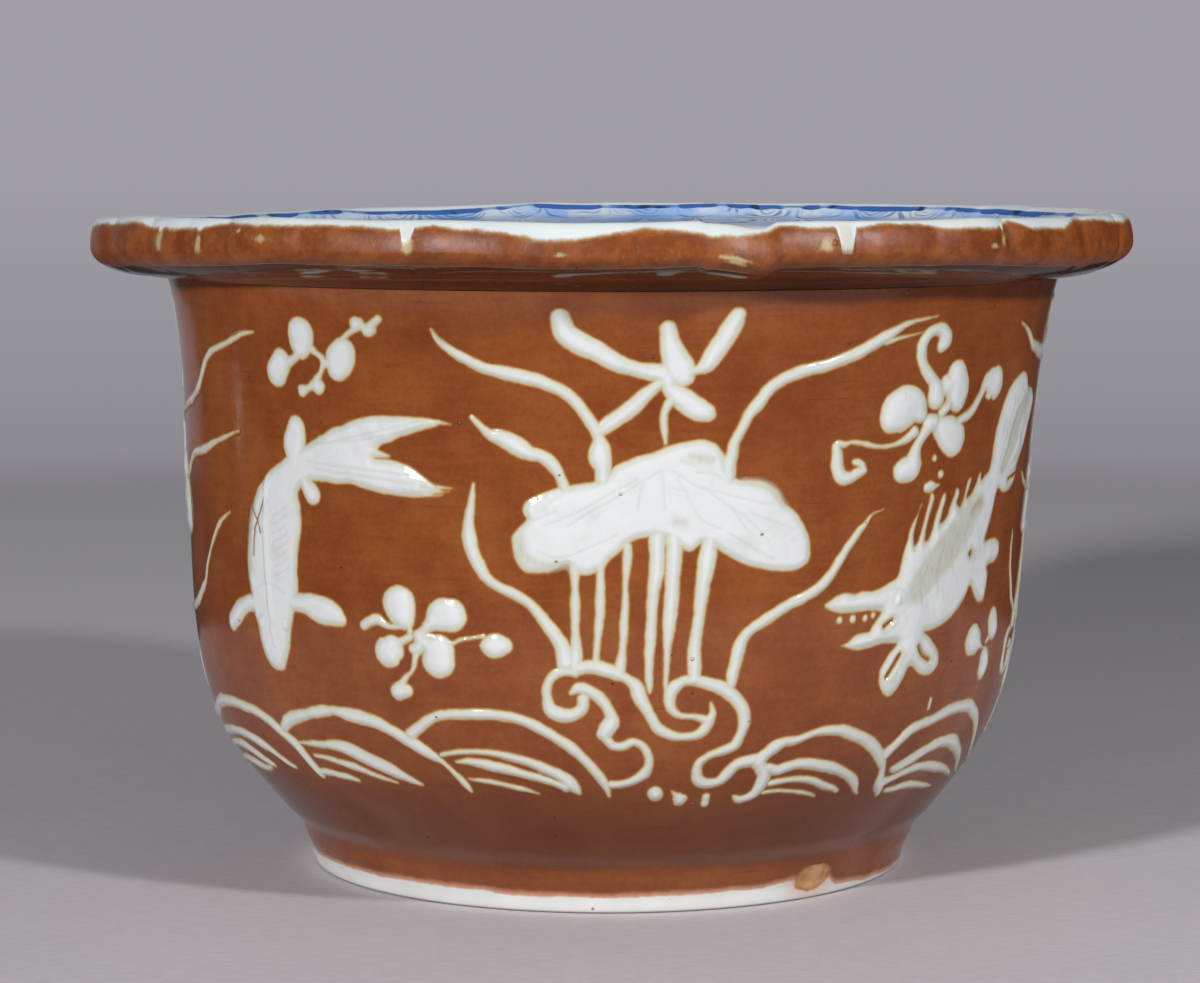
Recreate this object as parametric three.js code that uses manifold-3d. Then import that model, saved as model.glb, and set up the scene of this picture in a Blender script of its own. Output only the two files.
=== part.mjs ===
// A Chinese jardiniere: a brown-glazed pot with a lobed rim, decorated in raised white slip.
// Millimetres, +Z up. The origin is the middle of the foot, on the surface that the pot stands on.
// Azimuth 0 is the front, towards -Y, and azimuths grow to the right as the front is seen.

import * as THREE from "three";
import { mergeVertices } from "three/addons/utils/BufferGeometryUtils.js";
import Module from "manifold-3d";

const wasm = await Module();
wasm.setup();

// Driving sizes of the thrown pot
const FOOT_RADIUS = 83.2; // where the pot stands
const FOOT_FLARE = 2.2; // the foot is this much wider at its top
const FOOT_HEIGHT = 9.7;
const FOOT_WIDTH = 10.4; // of the ring, where it stands
const FOOT_BEVEL = 0.9;
const HAUNCH_STEP = 6.4; // how far the wall turns out over the foot
const HAUNCH_RISE = 7.9; // and in what height
const BELLY_RADIUS = 115.3;
const BELLY_HEIGHT = 68;
const BELLY_LEAN = 0.116; // the wall's slope as it passes the belly, radius over height
const NECK_RADIUS = 124.2; // the crease under the rim
const NECK_HEIGHT = 164;
const WALL = 7.3;
const FLOOR_THICKNESS = 8.4;
const FLOOR_SEAT = 3; // how far the floor lies on the foot ring
const GAP = 0.3; // between pieces that don't share a flat face

// Driving sizes of the rim
const RIM_OVERHANG = 20.8; // from the neck crease out to the widest line
const RIM_RISE = 18.6; // from the neck crease up to the lip's top
const LIP_DROP = 8.1; // from the lip's top down to the rim's widest line
const LIP_INSET = 3.5; // the lip's top lies this far inside the widest line
const LIP_WIDTH = 10; // from the widest line to the dished top behind the lip
const LIP_STEP = 4.1; // the dished top starts this far below the lip
const MOUTH_STEP = 7; // the mouth's edge lies this far below the lip
const MOUTH_ROUND = 6.5; // height of the round down into the mouth
const MOUTH_REACH = 3.9; // width of the same round
const LOBES = 32;
const NOTCH_DEPTH = 3.2; // of the pinches between lobes
const NOTCH_DROP = 1.2;
const NOTCH_FADE = 3; // power by which a pinch fades towards the neck
const FIRST_NOTCH = 2.1; // azimuth in degrees
const SEGMENTS_PER_LOBE = 2;

// Driving sizes of the slip
const LINE_CROWN = 1.3; // how far a trailed line stands out
const BODY_CROWN = 2.2; // how far a leaf or a fish stands out
const LINE_SIDES = 3;
const BODY_SIDES = 6;
const LINE_STEP = 13; // the furthest between sections along a line
const BROAD_END = 2.6; // a line's end is drawn out round where its half-width is over this
const END_REACH = 0.8; // of such an end, as a share of the half-width
const END_NARROWING = 0.45;
const END_FALL = 0.6;

const DEGREE = Math.PI / 180;
const RIM_RADIUS = NECK_RADIUS + RIM_OVERHANG;
const HEIGHT = NECK_HEIGHT + RIM_RISE;
const SEGMENTS = LOBES * SEGMENTS_PER_LOBE;

const BROWN_GLAZE = new THREE.MeshStandardMaterial({ color: 0x84442a, roughness: 0.16 });
const CLEAR_GLAZE = new THREE.MeshStandardMaterial({ color: 0xdfe3dc, roughness: 0.18 });
const WHITE_SLIP = new THREE.MeshStandardMaterial({ color: 0xe6e8e1, roughness: 0.22 });

const pot = new THREE.Group();

function add(name, geometry, material) {
  const mesh = new THREE.Mesh(geometry, material);
  mesh.name = name;
  pot.add(mesh);
  return mesh;
}

function shifted(point, dx, dy) {
  return new THREE.Vector2(point.x + dx, point.y + dy);
}

// A point in the box between two others, at a share of its width and a share of its height.
function within(from, to, [x, y]) {
  return shifted(from, (to.x - from.x) * x, (to.y - from.y) * y);
}

// A curve between two points of a section, its handles given as shares of the box between them.
function bend(from, to, first, second) {
  return new THREE.CubicBezierCurve(from, within(from, to, first), within(from, to, second), to);
}

// The pot's outer outline, radius and height, from the foot's edge up to the neck crease.
const foot = new THREE.Vector2(FOOT_RADIUS, 0);
const footTop = new THREE.Vector2(FOOT_RADIUS + FOOT_FLARE, FOOT_HEIGHT);
const haunch = new THREE.Vector2(footTop.x + HAUNCH_STEP, footTop.y + HAUNCH_RISE);
const belly = new THREE.Vector2(BELLY_RADIUS, BELLY_HEIGHT);
const neck = new THREE.Vector2(NECK_RADIUS, NECK_HEIGHT);
const haunchCurve = bend(footTop, haunch, [0.12, 0.44], [0.47, 0.57]);
const belowBelly = (haunch.y - belly.y) * 0.6; // handles along the wall's one direction at the belly
const aboveBelly = (neck.y - belly.y) * 0.23;
const bellyCurve = new THREE.CubicBezierCurve(
  haunch,
  within(haunch, belly, [0.43, 0.24]),
  shifted(belly, BELLY_LEAN * belowBelly, belowBelly),
  belly,
);
const neckCurve = new THREE.CubicBezierCurve(
  belly,
  shifted(belly, BELLY_LEAN * aboveBelly, aboveBelly),
  within(belly, neck, [0.28, 0.79]),
  neck,
);
const outline = new THREE.CurvePath();
outline.add(new THREE.LineCurve(foot, footTop));
outline.add(haunchCurve);
outline.add(bellyCurve);
outline.add(neckCurve);

// A closed section turned round the pot's axis. Its points run anticlockwise, with the axis on the left.
function turned(section) {
  const geometry = new THREE.LatheGeometry(section, SEGMENTS);
  geometry.rotateX(Math.PI / 2);
  return geometry;
}

// The wall's inner line, from the foot ring up to the neck, one wall's thickness inside the outline.
function innerLine() {
  const between = [0.085, 0.18, 0.35, 0.6, 0.82];
  const middle = between.map((share) => {
    const spot = outline.getPoint(share);
    const along = outline.getTangent(share);
    return shifted(spot, -along.y * WALL, along.x * WALL);
  });
  return [shifted(footTop, -WALL, 0), ...middle, shifted(neck, -WALL, 0)];
}

// The part of a rising line that lies below a height, ending at that height.
function lineBelow(line, height) {
  const above = line.findIndex((point) => point.y >= height);
  const low = line[above - 1];
  const high = line[above];
  const end = low.clone().lerp(high, (height - low.y) / (high.y - low.y));
  return [...line.slice(0, above), end];
}

// The ring that the pot stands on. Its flat top carries the wall and the edge of the floor.
function footRing() {
  const innerTop = shifted(footTop, -WALL - GAP - FLOOR_SEAT, 0);
  const innerFoot = new THREE.Vector2(FOOT_RADIUS - FOOT_WIDTH, 0);
  const section = [
    shifted(innerFoot, FOOT_BEVEL, 0),
    shifted(foot, -FOOT_BEVEL, 0),
    shifted(foot, 0, FOOT_BEVEL),
    footTop,
    innerTop,
    shifted(innerFoot, 0, FOOT_BEVEL),
    shifted(innerFoot, FOOT_BEVEL, 0),
  ];
  return turned(section);
}

// A disc whose edge follows the wall's inner line.
function floorDisc() {
  const top = FOOT_HEIGHT + FLOOR_THICKNESS;
  const edge = lineBelow(innerLine(), top).map((point) => shifted(point, -GAP, 0));
  return turned([new THREE.Vector2(0, FOOT_HEIGHT), ...edge, new THREE.Vector2(0, top)]);
}

function bowlWall() {
  const outer = [
    ...haunchCurve.getSpacedPoints(2),
    ...bellyCurve.getSpacedPoints(8).slice(1),
    ...neckCurve.getSpacedPoints(12).slice(1),
  ];
  const inner = innerLine().reverse();
  return turned([...outer, ...inner, outer[0]]);
}

// How strongly an azimuth lies in a pinch between two lobes, from 0 to 1.
function pinch(azimuth) {
  const place = ((azimuth / DEGREE - FIRST_NOTCH) * LOBES) / 360;
  return Math.abs(place - Math.round(place)) < 0.5 / SEGMENTS_PER_LOBE ? 1 : 0;
}

// The everted rim, flat where it sits on the wall's top, its lip pinched into lobes.
function rimFlange() {
  const widest = new THREE.Vector2(RIM_RADIUS, HEIGHT - LIP_DROP);
  const lip = new THREE.Vector2(RIM_RADIUS - LIP_INSET, HEIGHT);
  const behind = new THREE.Vector2(RIM_RADIUS - LIP_WIDTH, HEIGHT - LIP_STEP);
  const innerSeat = shifted(neck, -WALL, 0);
  const mouth = new THREE.Vector2(innerSeat.x + MOUTH_REACH, HEIGHT - MOUTH_STEP);
  const throat = new THREE.Vector2(innerSeat.x, HEIGHT - MOUTH_STEP - MOUTH_ROUND);
  const section = [
    innerSeat,
    ...bend(neck, widest, [0.42, 0.06], [1, 0.3]).getPoints(4),
    ...bend(widest, lip, [0, 0.43], [0.4, 1]).getPoints(2).slice(1),
    ...bend(lip, behind, [0.31, 0], [0.62, 0.76]).getPoints(2).slice(1),
    ...bend(mouth, throat, [0.64, 0.09], [1, 0.4]).getPoints(2),
    innerSeat,
  ];
  const geometry = turned(section);
  geometry.rotateZ(FIRST_NOTCH * DEGREE);
  const places = geometry.getAttribute("position");
  for (let i = 0; i < places.count; i += 1) {
    const spot = new THREE.Vector3().fromBufferAttribute(places, i);
    const radius = Math.hypot(spot.x, spot.y);
    const outward = Math.max(0, (radius - NECK_RADIUS) / RIM_OVERHANG);
    const depth = Math.pow(outward, NOTCH_FADE) * pinch(Math.atan2(spot.x, -spot.y));
    const scale = 1 - (NOTCH_DEPTH * depth) / radius;
    places.setXYZ(i, spot.x * scale, spot.y * scale, spot.z - NOTCH_DROP * depth);
  }
  return geometry;
}

// The slip is drawn on the outline unrolled flat: azimuth in degrees, height in percent of the outline.
const PERCENT = outline.getLength() / 100;
const WAIST = 0.69; // share of the outline where a flat drawing keeps its true width
const FLAT_DEGREE = outline.getPoint(WAIST).x * DEGREE;

// A point over the unrolled wall, that far off it along its normal.
function place(degrees, percent, lift) {
  const spot = outline.getPoint(percent / 100);
  const along = outline.getTangent(percent / 100);
  const radius = spot.x + along.y * lift;
  const azimuth = degrees * DEGREE;
  return [radius * Math.sin(azimuth), -radius * Math.cos(azimuth), spot.y - along.x * lift];
}

// Where a line's sections lie, as shares of its points, with -1 or 1 for a narrow one past a broad end.
function sections(points) {
  const last = points.length - 1;
  const rows = points.slice(1).flatMap((to, i) => {
    const steps = Math.ceil(to.distanceTo(points[i]) / LINE_STEP);
    return Array.from({ length: steps }, (_, k) => ({ share: (i + k / steps) / last, past: 0 }));
  });
  rows.push({ share: 1, past: 0 });
  if (points[0].z > BROAD_END) rows.unshift({ share: 0, past: -1 });
  if (points[last].z > BROAD_END) rows.push({ share: 1, past: 1 });
  return rows;
}

// A cylinder with three or six sides has its widest flat side at this share of its radius.
const FLAT_SIDE = Math.cos((2 * Math.PI) / 3);
const FLAT_HALF_WIDTH = Math.sin((2 * Math.PI) / 3);

// One ridge of slip along a smooth line through points of azimuth, percent and half-width in millimetres.
// It is a cylinder laid along that line: its top side swells to the crown, its underside follows the wall.
function ridge(points, crown, sides) {
  const flat = points.map(([x, y, half]) => new THREE.Vector3(x * FLAT_DEGREE, y * PERCENT, half));
  const line = new THREE.CatmullRomCurve3(flat, false, "centripetal");
  const rows = sections(flat);
  const geometry = new THREE.CylinderGeometry(1, 1, 1, sides, rows.length - 1);
  const places = geometry.getAttribute("position");
  const top = places.getY(0);
  for (let i = 0; i < places.count; i += 1) {
    const { share, past } = rows[Math.round((top - places.getY(i)) * (rows.length - 1))];
    const spot = line.getPoint(share);
    const along = line.getTangent(share).setZ(0).normalize();
    const across = (places.getX(i) / FLAT_HALF_WIDTH) * spot.z * (past ? END_NARROWING : 1);
    const ahead = past * spot.z * END_REACH;
    const x = spot.x + along.x * ahead - along.y * across;
    const y = spot.y + along.y * ahead + along.x * across;
    const swell = Math.max(0, (places.getZ(i) - FLAT_SIDE) / (1 - FLAT_SIDE));
    const rise = swell * (past ? END_FALL : 1);
    places.setXYZ(i, ...place(x / FLAT_DEGREE, y / PERCENT, GAP + crown * rise));
  }
  return geometry;
}

function solidOf(geometry) {
  geometry.deleteAttribute("normal");
  geometry.deleteAttribute("uv");
  const merged = mergeVertices(geometry, 1e-3);
  const vertProperties = merged.getAttribute("position").array;
  const triVerts = new Uint32Array(merged.index.array);
  return new wasm.Manifold(new wasm.Mesh({ numProp: 3, vertProperties, triVerts }));
}

// Ridges that touch, joined into one solid. A motif has trailed lines, and bodies that stand out further.
function slip({ lines = [], bodies = [] }) {
  const ridges = [
    ...bodies.map((points) => ridge(points, BODY_CROWN, BODY_SIDES)),
    ...lines.map((points) => ridge(points, LINE_CROWN, LINE_SIDES)),
  ];
  const joined = ridges.map(solidOf).reduce((sum, solid) => sum.add(solid));
  const { vertProperties, triVerts } = joined.getMesh();
  const geometry = new THREE.BufferGeometry();
  geometry.setAttribute("position", new THREE.BufferAttribute(vertProperties, 3));
  geometry.setIndex(new THREE.BufferAttribute(triVerts, 1));
  return geometry;
}

// A motif with every point moved by a rule.
function moved(motif, rule) {
  const move = (points) => points.map(([x, y, half]) => rule(x, y, half));
  return { lines: (motif.lines ?? []).map(move), bodies: (motif.bodies ?? []).map(move) };
}

// The lotus that a whole clump is built round: one broad leaf, a flower over it, stems, and scrolled roots.
const LOTUS = {
  bodies: [
    [[-10.6, 64.2, 7], [-6.6, 65.7, 10.6], [-1, 67.1, 11.5], [4.9, 71, 10.8], [8.7, 71.4, 12.5],
      [13.6, 69.4, 11.3], [19.4, 65.7, 11], [23.8, 63.3, 6.7]],
  ],
  lines: [
    // Flower: two wings, the petal between them, the hanging petal with its tendril, and the left arm
    [[-5.9, 95.6, 2.4], [-3.8, 93, 2.8], [0.5, 90.2, 2.3], [4.6, 88.8, 2.2], [7.5, 88.2, 2.4]],
    [[6.55, 94.8, 2], [7.4, 91.1, 3.2], [8.2, 88.2, 3.3]],
    [[14.5, 95.9, 2], [12.95, 92.9, 2.6], [11.2, 89.75, 2], [8.8, 88.4, 1.6]],
    [[7.2, 88.4, 2.2], [7.4, 85.9, 2.4], [9, 84.4, 3], [11.5, 82.8, 2.2]],
    [[7.2, 85.6, 1.4], [6.3, 83, 1], [6.4, 79.4, 0.8], [6.5, 74.8, 0.9]],
    [[6.8, 88, 1.6], [4.4, 85.9, 1.7], [0.9, 82.3, 2], [-1.8, 79.6, 1.5]],
    // Stems
    [[-4.8, 64.5, 1.5], [-4.5, 54.4, 1.1], [-4.65, 45.6, 1.7]],
    [[-1.35, 64.5, 1.2], [-1.5, 54.4, 1.1], [-2, 45.4, 1.1]],
    [[1.9, 66.5, 1.2], [1.65, 56, 0.9], [1.3, 49.3, 1], [0.9, 44.5, 1.5]],
    [[5.6, 67.5, 2.1], [5, 54.4, 1.4], [4.7, 46, 1.1], [4.7, 42.9, 0.7]],
    [[7.6, 67.5, 2.2], [7.4, 55.9, 1.9], [7, 48.4, 1], [6.85, 44.2, 0.7]],
    [[12.2, 67.5, 1.9], [11.6, 60.2, 2.2], [11, 54.4, 1.6], [10.4, 48.4, 1.7], [10.4, 43.2, 1.7]],
    // Left scroll: the band that runs under the stems, the curl at its left end and the S within
    [[-4.65, 45.3, 1.7], [-2.1, 45.6, 1.9], [0.7, 44.5, 1.6], [3.1, 42.2, 1.7], [4.4, 39.4, 1.5],
      [5.85, 36.35, 1.5], [8.85, 34.8, 1.15], [11.7, 35.5, 1.3], [13, 38, 1]],
    [[-4.3, 45.4, 1.6], [-7.5, 44.1, 1.3], [-8.2, 40.8, 1.3], [-6.3, 38.3, 1.7], [-4, 39.2, 1.5],
      [-3.4, 42.2, 1.4]],
    [[-4.6, 42.5, 1.3], [-1.7, 41.1, 1.5], [0, 37.4, 1.8], [-0.9, 35.1, 1.9], [0.6, 33.4, 1.2],
      [2.85, 34, 1.1], [4.9, 31.4, 1.1], [4.2, 28.6, 1.3], [1.4, 27, 1]],
    // Right scroll
    [[12.6, 37.4, 1.2], [8.7, 38.2, 0.9], [7.3, 40.9, 1.5], [9, 43.4, 1.45], [12, 43.05, 1.6],
      [15.7, 40.75, 1.8], [17.35, 37, 1.7], [16.3, 33.15, 1.5], [12.85, 31.5, 1.2], [11.5, 28.9, 1.4],
      [13.4, 26.7, 1.5], [15.85, 28.4, 1.6], [18, 30.1, 1.6]],
  ],
};

// Reeds that lean out of the front clump, three to the left and two to the right.
const FRONT_REEDS = [
  [[-21.5, 94, 0.4], [-18, 90.7, 1.2], [-13, 88.6, 1.6], [-8.2, 87.3, 1.7], [-4.5, 84.6, 1.5],
    [-2.1, 80.8, 1.5], [-1.4, 76.6, 2.6], [-1.1, 72, 1.9]],
  [[-16.6, 81.4, 0.6], [-13.5, 79.1, 1.8], [-10.8, 77.5, 2.2], [-8.7, 76.6, 1.5], [-6.4, 73.8, 1.4],
    [-5.6, 70, 1.3]],
  [[-17.1, 71.8, 0.4], [-17.9, 66, 1.5], [-17.5, 62.5, 1.9], [-15.8, 58.7, 1.5], [-12.2, 56.3, 1.35],
    [-9.1, 53.5, 1.4], [-6.8, 50, 1.8], [-4.8, 46, 2]],
  [[14.2, 71, 1.6], [14.6, 76.6, 1.5], [15.8, 80.2, 1.4], [18.1, 84.4, 1.6], [20.8, 87.4, 1.5],
    [26.4, 89.3, 1.5], [32, 91.6, 1.6], [36.6, 94.3, 1], [39, 95.3, 0.4]],
  [[14.3, 42, 1.4], [15.7, 45.9, 1.6], [16.9, 50, 1.5], [21, 53.1, 1.5], [26.9, 56.5, 1.4],
    [30.7, 61.9, 1.15], [34, 66.2, 0.4]],
];

// A side clump is narrower above and leans: its leaf and flower lie further round than its roots.
const SIDE_LEAF_PLACE = 85.8;
const SIDE_LEAF_NARROW = 0.65;
const SIDE_ROOT_PLACE = 78;
const SIDE_ROOT_NARROW = 0.93;
const SIDE_LEAN_FROM = 44; // percent
const SIDE_LEAN_TO = 65;
const SIDE_THIN = 0.85; // its half-widths against those of the front

function leaning(x, y, half) {
  const share = THREE.MathUtils.clamp((y - SIDE_LEAN_FROM) / (SIDE_LEAN_TO - SIDE_LEAN_FROM), 0, 1);
  const root = SIDE_ROOT_PLACE + SIDE_ROOT_NARROW * x;
  const leaf = SIDE_LEAF_PLACE + SIDE_LEAF_NARROW * x;
  return [THREE.MathUtils.lerp(root, leaf, share), y, half * SIDE_THIN];
}

const SIDE_REEDS = [
  [[63.9, 93.9, 0.4], [68.2, 91.8, 1], [72.2, 89.8, 1.5], [77.9, 88.6, 2.2], [84, 87.8, 2], [89, 88, 2]],
  [[72.6, 69.6, 0.4], [76.3, 67.5, 1], [81, 66, 1.4]],
  [[69.2, 60.6, 0.4], [69, 55.3, 0.8], [71.4, 50, 0.9], [75.5, 46.2, 1.2]],
  [[129.4, 93.2, 0.4], [122.3, 91, 0.8], [115.8, 88.15, 1], [109.8, 82.6, 1], [104.1, 80.5, 1],
    [96, 78.4, 1], [92.5, 75.5, 1.2]],
  [[124, 77.8, 0.4], [116.2, 75.4, 0.9], [109.8, 73.5, 1], [104.9, 71.8, 1], [98.5, 68, 1.3],
    [94.5, 66.5, 1.3]],
  [[120.2, 64.8, 0.4], [116.6, 62.7, 0.8], [113, 58.6, 0.8], [109.8, 53.35, 0.9], [105.3, 50.2, 1.3],
    [99.2, 48, 1.3], [95, 46.8, 1.3], [91, 42.8, 1.3]],
];

// A carp with its head down, its split tail brushed out to the right.
const CARP = {
  bodies: [
    [[-49.7, 44.4, 3.6], [-49.9, 47.3, 6.4], [-49.8, 51.4, 9.2], [-49.7, 57, 10.9], [-49.3, 62.5, 10.9],
      [-48.2, 67, 9.9], [-46.2, 71.4, 7.8], [-43, 74.2, 5.4]],
    [[-43, 74.9, 4.6], [-37.5, 76.6, 4.6], [-31, 79, 3.9], [-26, 80.5, 2.2], [-22, 81, 0.8]],
    [[-43, 74, 4], [-36, 73.2, 3.4], [-31, 73, 3.9], [-26, 72.4, 3.4], [-22, 71.5, 1.1]],
    [[-43.1, 78.8, 3.1], [-43.6, 76.8, 4], [-44.2, 74, 3.8]],
  ],
  lines: [
    [[-44.2, 73, 2.4], [-41.4, 70, 2.6]],
    [[-51.5, 52.6, 2.4], [-56, 51.2, 2.2], [-60, 48.6, 2.4]],
    [[-47, 53, 2.4], [-42.2, 52.6, 3], [-38, 51.6, 2.4]],
  ],
};

// A fish with an open jaw and a spined back, its tail fanned up to the right.
const SPINY_FISH = {
  bodies: [
    [[39.5, 52.2, 3.4], [42.4, 53.1, 7.6], [46.5, 56.3, 10.4], [50, 58.8, 10.8], [53.5, 61.8, 9],
      [57, 66.2, 5.4], [60, 70.3, 4]],
    [[59.4, 69.5, 3.4], [61.4, 72.6, 6.2], [63.6, 75.3, 9], [66.5, 78.2, 10.6], [69.6, 80.5, 8.8],
      [71.9, 81.3, 5.2]],
    [[41.9, 48.6, 2.6], [40.6, 44.4, 3.6], [39.6, 42, 3.8]],
    [[43.4, 48, 2.6], [45, 45, 3.3], [46.4, 43.6, 3.4]],
    [[56, 59.5, 2.6], [59.8, 58.7, 3], [61.7, 58.8, 2.6]],
    [[55, 57.6, 3.2], [57.3, 54.3, 3.2], [58, 53, 2.3]],
  ],
  lines: [
    [[28.4, 53.7, 1], [30.4, 53.7, 2.2], [33.5, 53.8, 2.5], [37, 53.8, 2.8], [41, 54, 3.6]],
    [[31, 47.4, 0.6], [33, 47.7, 1.6], [35.5, 48.1, 1.8], [38.2, 48.9, 2.4], [42, 50.4, 3.4]],
    [[36.6, 50.7, 1.2], [38, 51.9, 1.6], [41, 52.5, 2]],
    [[43, 67.4, 0.5], [41.7, 64, 1], [41.6, 59.5, 1.7], [43.4, 57, 2]],
    [[45, 68.3, 0.7], [44.2, 65.4, 1.2], [43.7, 60, 1.9]],
    [[47.4, 68.3, 0.7], [46.6, 66, 1.1], [46, 61.5, 1.9]],
    [[50.3, 68.8, 0.7], [49.5, 66.8, 1.3], [48.8, 63.5, 2]],
    [[53.1, 70.1, 0.7], [52.3, 68.4, 1.2], [51.6, 65, 2]],
    [[55.7, 70.7, 0.7], [55, 69.3, 1.2], [54.2, 66.5, 2]],
  ],
};

// Sprigs of prunus, one over and one under each shoulder of the drawing.
const SPRIGS = {
  sprig_upper_left: {
    lines: [
      [[-41, 93.2, 4.2], [-41.1, 92, 3.6], [-41.3, 90.6, 2.2]],
      [[-46, 87.2, 3.8], [-45, 89, 3.2], [-43, 89.4, 1.6], [-41.2, 90.9, 1.8]],
      [[-41, 91.9, 1.8], [-38.4, 90.4, 1.1], [-36.2, 89.6, 1.8]],
      [[-34.7, 90.7, 3.6], [-35.2, 89, 3.4]],
      [[-37, 90, 1.3], [-38.1, 87.8, 0.9], [-38.9, 86, 1.9], [-41.4, 84.9, 1.3]],
      [[-34.6, 91.6, 1.4], [-33.2, 93.9, 0.9], [-32, 94.9, 1.6], [-30.3, 94.5, 1.4], [-29, 95.7, 1]],
    ],
  },
  sprig_lower_left: {
    lines: [
      [[-27.7, 53.6, 4.2], [-26.8, 51.4, 2.2], [-25.2, 49, 1.8]],
      [[-20.9, 52.7, 4], [-23.3, 51.4, 1.9], [-25.2, 49.4, 1.5]],
      [[-29.2, 47, 4], [-27.5, 48.4, 1.5], [-25.2, 49.1, 1.5]],
      [[-22.4, 46.4, 4.1], [-24, 48.4, 2.2], [-25, 49, 1.8]],
      [[-25, 48.4, 1.8], [-25.8, 45.4, 0.9], [-27.1, 43.2, 0.9], [-28.2, 41.2, 2.1]],
      [[-26.6, 50.8, 1.2], [-29, 50.6, 0.8], [-31, 51.3, 1.3], [-32.8, 50.6, 1.2]],
      [[-25, 49.3, 1.2], [-21.4, 48.8, 0.8], [-17.5, 49.4, 0.7], [-15.2, 48.7, 2.4], [-13.9, 48.6, 2.1]],
    ],
  },
  sprig_upper_right: {
    lines: [
      [[44.9, 92, 2], [44.4, 93.7, 1.9], [42.4, 93.7, 1.6], [41, 91, 1.6], [42.2, 87.9, 1.7],
        [44.2, 85, 2.5], [44.2, 80.5, 2.6]],
      [[37.5, 81.5, 3.9], [40.3, 82.6, 4.2], [43.9, 82.4, 2.8]],
      [[48.3, 86.6, 3.7], [48.5, 84.2, 4.2], [46, 84.2, 2.6], [44.2, 83.6, 2.4]],
      [[47.9, 82.8, 1.8], [46.2, 81.4, 1.6], [44.2, 80.4, 2]],
      [[44.4, 80.4, 2.4], [46.2, 78.7, 3.6], [48.2, 77.5, 4.5]],
      [[48.4, 78.6, 2], [51.7, 80.6, 1.4], [54, 83.3, 1.4], [55.5, 84.9, 2.2], [57.5, 85.2, 4.2]],
      [[44.2, 80.4, 2.2], [42.5, 78.4, 1.8], [41.2, 75.4, 2.2], [40.2, 73.5, 3]],
      [[42.6, 79, 1.6], [39.5, 77.75, 1], [35.2, 76.9, 0.8], [31.9, 77.6, 0.8], [29, 77, 1.2],
        [28.9, 74.2, 1.6], [31, 72.7, 1.4], [32.7, 73.7, 1]],
    ],
  },
  sprig_lower_right: {
    lines: [
      [[57.1, 45.2, 4.2], [59.4, 44.1, 1.6], [61, 42.3, 2.6], [61.4, 40.8, 2.9]],
      [[63, 47.3, 3.2], [62.4, 45.5, 1.6], [60.2, 43.6, 1.4]],
    ],
  },
};

// The long rolling waves at either side of the clump, with what hangs from them.
const WAVES_LEFT = {
  lines: [
    [[-28.3, 33.2, 1.6], [-24.2, 36.8, 1.35], [-20, 37.9, 1.4], [-14.3, 38, 1.35], [-9.7, 36.45, 1.45],
      [-5.7, 33.5, 1.5], [-2.6, 29.75, 1.35], [-0.7, 25.8, 0.6]],
    [[-52, 31.6, 1.6], [-47.7, 34.6, 1.9], [-41.3, 36.4, 1.55], [-35.1, 36.1, 1.95], [-28.1, 33.2, 1.6],
      [-24.7, 30.9, 1.4], [-22.2, 28.6, 0.8], [-20.2, 25.5, 0.5]],
    [[-82, 30.1, 2.2], [-74.7, 32.7, 1.75], [-66.2, 34.5, 1.6], [-59.2, 34.3, 1.45], [-53.2, 32.3, 1.6],
      [-49.4, 29.8, 1.9], [-46.7, 25.6, 1.6], [-42.5, 25.2, 1], [-38.8, 24.9, 0.6]],
  ],
};

const WAVES_RIGHT = {
  lines: [
    [[21.3, 30.9, 1.8], [23.5, 33.1, 1.35], [28.3, 34.3, 1.1], [33.7, 33.5, 1.7], [38.8, 30.3, 1.8],
      [41.1, 27.5, 1.6], [42.1, 25, 1.3], [42.9, 22.8, 1.6], [43.4, 21.5, 0.9]],
    [[21.4, 30.6, 1.9], [21.2, 27.7, 2], [20.7, 24.9, 1.6], [18.4, 23.4, 1.1]],
    [[21.2, 28.5, 1.5], [26.3, 29.15, 1.5], [31.9, 27.8, 1.6], [36.5, 25.1, 1.4], [38.4, 22.5, 0.5]],
    [[21, 25.9, 1.1], [26, 26.4, 1.05], [30.9, 25, 1.1], [34, 23.3, 0.7]],
    [[20.8, 24.4, 0.9], [25.2, 24.35, 0.6], [28.6, 23.5, 0.55], [30, 22.8, 0.4]],
    [[40.4, 28.4, 1.7], [43.9, 31.6, 1.6], [49.4, 33.6, 1.5], [56, 34.75, 1.7], [61.7, 33.1, 1.7],
      [66, 29.1, 1.2], [71.1, 23.8, 0.9], [76.6, 21.6, 0.8]],
    [[42.9, 23.1, 1.5], [46.6, 24.3, 1.1], [53.1, 24.9, 1.4], [60, 23, 1], [65.6, 20.5, 0.5]],
  ],
};

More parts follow.
